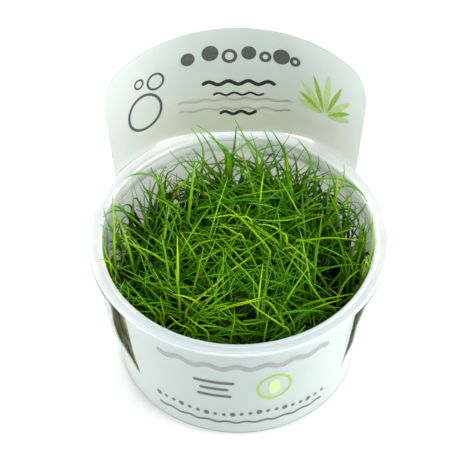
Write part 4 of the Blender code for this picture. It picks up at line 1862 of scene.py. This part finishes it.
DEAD_BLADES = (
    ((0.6, 0.5), ((32.7, 15.1, 38), (30.9, 16.8, 39.2), (28.2, 18.7, 40.7), (24.6, 20.8, 42.3),
     (21.7, 22.3, 43.4), (19, 23.3, 44))),
    ((0.6, 0.5), ((-34, 10.3, 33), (-33.4, 9.7, 37.9), (-32.6, 10.4, 42))),
)

# Dark hollows among the blades: x, y and radius in millimetres

HOLLOWS = (
    (-31.0, -4.5, 2.4),
    (24.5, -3.5, 2.8),
    (26.5, -11.5, 2.4),
    (-16.5, 18.0, 3.4),
    (-28.0, 5.0, 1.8),
    (2.0, -19.5, 2.0),
    (-9.0, -13.0, 1.8),
)

DRIED_LEAF = PlantFibre(
    name="hairgrass leaf, dried",
    dark="#7d6a45",
    middle="#a38f62",
    light="#c4b48c",
    foot="#5b4c2e",
    roughness=(0.5, 0.65),
    shade_band=(10.0, 36.0),
)


@dataclass
class Turf:
    """The grass: tufts of needle-like blades that grow from the gel and lean over one another.

    The tufts stand like seeds in a sunflower. Of what is drawn by chance, a pair holds
    the least and the most, and a spread is that of a bell curve; the tone has its
    middle and its spread, and the length its least, its most and its most common.
    Angles are in radians.
    """

    cup: Cup
    sleeve: Sleeve
    gel: GrowingGel
    seed: int = 23
    tuft_count: int = 27
    tufts_per_piece: int = 7
    tuft_ring: float = 30.7
    golden_angle: float = math.pi * (3 - math.sqrt(5))
    tuft_spread: float = 3.0
    blades_at_middle: int = 40
    blades_at_edge: int = 122
    crowded_from: float = 20.0
    turned_back: float = 0.5
    lean_spread: float = 1.1
    tilt_spread: float = 0.3
    sway_spread: float = 0.75
    bend: Band = (0.7, 2.3)
    length: Place = (15, 38, 26)
    tone: Band = (0.42, 0.25)
    girth: Band = (0.56, 1.15)
    segments: int = 11
    softenings: int = 4
    root_depth: float = 0.4
    lowest: float = 0.6
    clear: float = 0.35
    hollow_foot: float = 31.0
    placed_steps: int = 14
    placed_girth: float = 0.92
    root_run: float = 0.5

    def tuft_place(self, index: int) -> Point:
        """Where a tuft stands on the gel.

        Args:
            index: the tuft's number from 0.

        Returns:
            Its x and y in millimetres.
        """
        radius = self.tuft_ring * math.sqrt((index + 0.5) / self.tuft_count)
        angle = index * self.golden_angle
        return radius * math.cos(angle), radius * math.sin(angle)

    def kept_inside(self, spot: Vector, over_lip: bool = False) -> Vector:
        """Move a place, in millimetres, clear of the cup, its lip, the sleeve and the gel.

        Args:
            spot: the place.
            over_lip: whether it may lie over the lip.

        Returns:
            The nearest free place.
        """
        radius = math.hypot(spot.x, spot.y)
        height = max(spot.z, self.gel.top - self.lowest)
        if height < self.cup.height or not over_lip:
            limit = self.cup.inner_radius(height) - self.clear
        else:
            angle = math.atan2(spot.x, spot.y) + self.sleeve.turn
            limit = self.cup.rim_radius - self.clear
            if abs(angle) < self.sleeve.header_free:
                sheet = self.sleeve.radius(angle, height) - self.sleeve.sheet - 2 * self.clear
                limit = min(limit, sheet)
            if radius > self.cup.mouth_radius - self.clear:
                height = max(height, self.cup.height + self.clear)
        share = min(1.0, limit / radius) if radius > 0 else 1.0
        return Vector((spot.x * share, spot.y * share, height))

    def strand(
        self,
        rng: random.Random,
        root: Point,
        thickness: float,
        tone: float,
        lean: float,
        tilt: float,
        bend: float,
        length: float,
    ) -> Strand:
        """Grow one blade.

        Args:
            rng: the seeded source of chance.
            root: where it starts on the gel, in millimetres.
            thickness: its thickness in millimetres.
            tone: its tone from 0, dark, to 1, light.
            lean: the way that it leans, as an angle round the cup's axis.
            tilt: how far it starts from upright.
            bend: how far it bends over by its tip.
            length: its length in millimetres.

        Returns:
            The blade.
        """
        step = length / self.segments
        sway = rng.gauss(0, self.sway_spread)
        path = [Vector((*root, self.gel.top - self.root_depth))]
        for i in range(self.segments):
            share = (i + 0.5) / self.segments
            angle = tilt + bend * share
            way = lean + sway * share
            flat = math.sin(angle)
            ahead = Vector((flat * math.cos(way), flat * math.sin(way), math.cos(angle)))
            path.append(self.kept_inside(path[-1] + ahead * step))
        for _ in range(self.softenings):
            softened = [(a + 2 * b + c) / 4 for a, b, c in zip(path, path[1:], path[2:])]
            path = [path[0], *softened, path[-1]]
        return Strand([self.kept_inside(spot) * MM for spot in path], thickness, tone)

    def crosses_hollow(self, strand: Strand) -> bool:
        """Tell whether a blade would cover one of the dark hollows.

        Args:
            strand: the blade.

        Returns:
            Whether it would.
        """
        for place in strand.path:
            x, y, height = place / MM
            if height <= self.hollow_foot:
                continue
            if any(math.hypot(x - hx, y - hy) < size for hx, hy, size in HOLLOWS):
                return True
        return False

    def placed(self, size: tuple[float, float], places: Sequence[Place]) -> Strand:
        """Grow one blade through given places, from a root under the first of them.

        Args:
            size: its thickness in millimetres and its tone.
            places: where it passes, in millimetres, ending with its tip.

        Returns:
            The blade.
        """
        marks = [Vector(place) for place in places]
        back = (marks[0] - marks[1]) * self.root_run
        root = Vector((marks[0].x + back.x, marks[0].y + back.y, self.gel.top - self.root_depth))
        marks = [root, *marks]
        ends = [marks[0] * 2 - marks[1], *marks, marks[-1] * 2 - marks[-2]]
        path = []
        for i in range(self.placed_steps + 1):
            where = (len(marks) - 1) * i / self.placed_steps
            k = min(int(where), len(marks) - 2)
            t = where - k
            a, b, c, d = ends[k:k + 4]
            slope = (c - a) * t
            bend = (2 * a - 5 * b + 4 * c - d) * t * t
            twist = (3 * b - a - 3 * c + d) * t ** 3
            spot = (2 * b + slope + bend + twist) / 2
            path.append(self.kept_inside(spot, over_lip=True) * MM)
        return Strand(path, size[0] * self.placed_girth, size[1])

    def grown(self, rng: random.Random, index: int) -> list[Strand]:
        """Every blade of one tuft.

        Args:
            rng: the seeded source of chance.
            index: the tuft's number from 0.

        Returns:
            Its blades, without those that would cover a hollow.
        """
        x, y = self.tuft_place(index)
        strands = []
        share = math.hypot(x, y) / self.tuft_ring
        count = round(self.blades_at_middle + (self.blades_at_edge - self.blades_at_middle) * share ** 2)
        for _ in range(count):
            turn = rng.uniform(0, math.tau)
            off = self.tuft_spread * math.sqrt(rng.random())
            root = (x + off * math.cos(turn), y + off * math.sin(turn))
            radius = math.hypot(*root)
            limit = self.cup.inner_radius(self.gel.top) - self.clear
            if radius > limit:
                root = (root[0] * limit / radius, root[1] * limit / radius)
            lean = turn + rng.gauss(0, self.lean_spread)
            outwards = math.cos(lean - math.atan2(root[1], root[0]))
            if radius > self.crowded_from and outwards > 0 and rng.random() < self.turned_back:
                lean += math.pi
            tilt = abs(rng.gauss(0, self.tilt_spread))
            bend = rng.uniform(*self.bend)
            length = rng.triangular(*self.length)
            tone = min(1.0, max(0.0, rng.gauss(*self.tone)))
            blade = self.strand(rng, root, rng.uniform(*self.girth), tone, lean, tilt, bend, length)
            if not self.crosses_hollow(blade):
                strands.append(blade)
        return strands

    def build(self) -> list[Object]:
        """Grow all tufts, a few of them to a piece, and the placed and dried blades.

        Returns:
            The pieces.
        """
        rng = random.Random(self.seed)
        tufts = [self.grown(rng, index) for index in range(self.tuft_count)]
        leaf = PlantFibre().build()
        tree = StrandTree("Leaf blades")
        pieces = []
        for start in range(0, self.tuft_count, self.tufts_per_piece):
            numbers = range(start, min(start + self.tufts_per_piece, self.tuft_count))
            strands = [strand for index in numbers for strand in tufts[index]]
            piece = tree.sweep(f"grass_{start // self.tufts_per_piece + 1}", strands, leaf)
            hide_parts(*(f"tuft_{index + 1:02d}" for index in numbers))
            pieces.append(piece)
        for name, blades, material in (
            ("grass_long_blades", LONG_BLADES, leaf),
            ("grass_dead_blades", DEAD_BLADES, DRIED_LEAF.build()),
        ):
            pieces.append(tree.sweep(name, [self.placed(*blade) for blade in blades], material))
        for piece in pieces:
            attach(piece, BODY)
        return pieces


# The studio

@dataclass(frozen=True)
class Softbox:
    """A soft rectangular light: its place and size in metres and its power in watts."""

    name: str
    place: Place
    size: tuple[float, float]
    power: float


@dataclass
class Studio:
    """The pale floor, the soft lights, the surroundings and the camera at the photo's angle."""

    elevation: float = math.radians(49.19)
    distance: float = 500.0
    lens: float = 145.68
    sensor: float = 36.0
    nearest: float = 0.01
    farthest: float = 50.0
    target: Place = (-1.546, 0.0, 46.404)
    lit_height: float = 40.0
    floor_size: float = 6.0
    room_tint: str = "#fbfcfc"
    room_light: float = 0.22
    softboxes: tuple[Softbox, ...] = (
        Softbox("front_softbox", (0, -0.95, 1.0), (0.8, 0.8), 9.4),
        Softbox("right_front_softbox", (1.1, -0.45, 0.5), (0.8, 0.8), 13.2),
        Softbox("back_softbox", (0, 1.2, 0.45), (1.2, 0.6), 18.5),
        Softbox("left_softbox", (-1.2, -0.1, 0.3), (0.5, 0.5), 11.0),
        Softbox("right_softbox", (1.2, 0.1, 0.3), (0.5, 0.5), 6.4),
    )

    def floor(self) -> None:
        """Lay the paper floor, its size in metres."""
        half = self.floor_size / 2
        corners = [(-half, -half, 0), (half, -half, 0), (half, half, 0), (-half, half, 0)]
        mesh = bpy.data.meshes.new("studio_floor")
        mesh.from_pydata(corners, [], [(0, 1, 2, 3)])
        mesh.materials.append(StudioPaper().build())
        place_in_scene("studio_floor", mesh)

    def surroundings(self) -> None:
        """Fill the room with even pale light."""
        world = bpy.data.worlds.new("studio_room")
        world.use_nodes = True
        tree = world.node_tree
        tree.nodes.clear()
        room = add_node(tree, "ShaderNodeBackground", {
            "Color": linear(self.room_tint),
            "Strength": self.room_light,
        })
        add_node(tree, "ShaderNodeOutputWorld", {"Surface": room.outputs["Background"]})
        bpy.context.scene.world = world

    def light(self, softbox: Softbox) -> None:
        """Hang a soft light that faces the cup.

        Args:
            softbox: the light.
        """
        data = bpy.data.lights.new(softbox.name, "AREA")
        data.shape = "RECTANGLE"
        data.size, data.size_y = softbox.size
        data.energy = softbox.power
        lamp = bpy.data.objects.new(softbox.name, data)
        lamp.location = softbox.place
        aim = Vector((0, 0, self.lit_height * MM)) - Vector(softbox.place)
        lamp.rotation_euler = aim.to_track_quat("-Z", "Y").to_euler()
        bpy.context.scene.collection.objects.link(lamp)

    def camera(self) -> None:
        """Stand the camera at the photo's angle."""
        data = bpy.data.cameras.new("studio_camera")
        data.lens = self.lens
        data.sensor_width = self.sensor
        data.clip_start = self.nearest
        data.clip_end = self.farthest
        camera = bpy.data.objects.new("studio_camera", data)
        back = Vector((0, -math.cos(self.elevation), math.sin(self.elevation)))
        camera.location = (Vector(self.target) + back * self.distance) * MM
        camera.rotation_euler = (-back).to_track_quat("-Z", "Y").to_euler()
        bpy.context.scene.collection.objects.link(camera)
        bpy.context.scene.camera = camera

    def build(self) -> None:
        """Set the studio up."""
        self.floor()
        self.surroundings()
        for softbox in self.softboxes:
            self.light(softbox)
        self.camera()
        bpy.context.scene.view_settings.view_transform = "Standard"


def main() -> None:
    """Build every piece on the frame."""
    logging.basicConfig(level=logging.INFO, format="%(name)s: %(message)s")
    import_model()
    Studio().build()
    cup = Cup()
    sleeve = Sleeve()
    gel = GrowingGel(cup)
    pieces = [
        cup.build(),
        sleeve.build(),
        *PrintedDesign(sleeve).build(),
        *gel.build(),
        *Turf(cup, sleeve, gel).build(),
    ]
    for piece in pieces:
        mesh = piece.data
        mesh.calc_loop_triangles()
        log.info("%s: %d triangles", piece.name, len(mesh.loop_triangles))


if __name__ == "__main__":
    main()
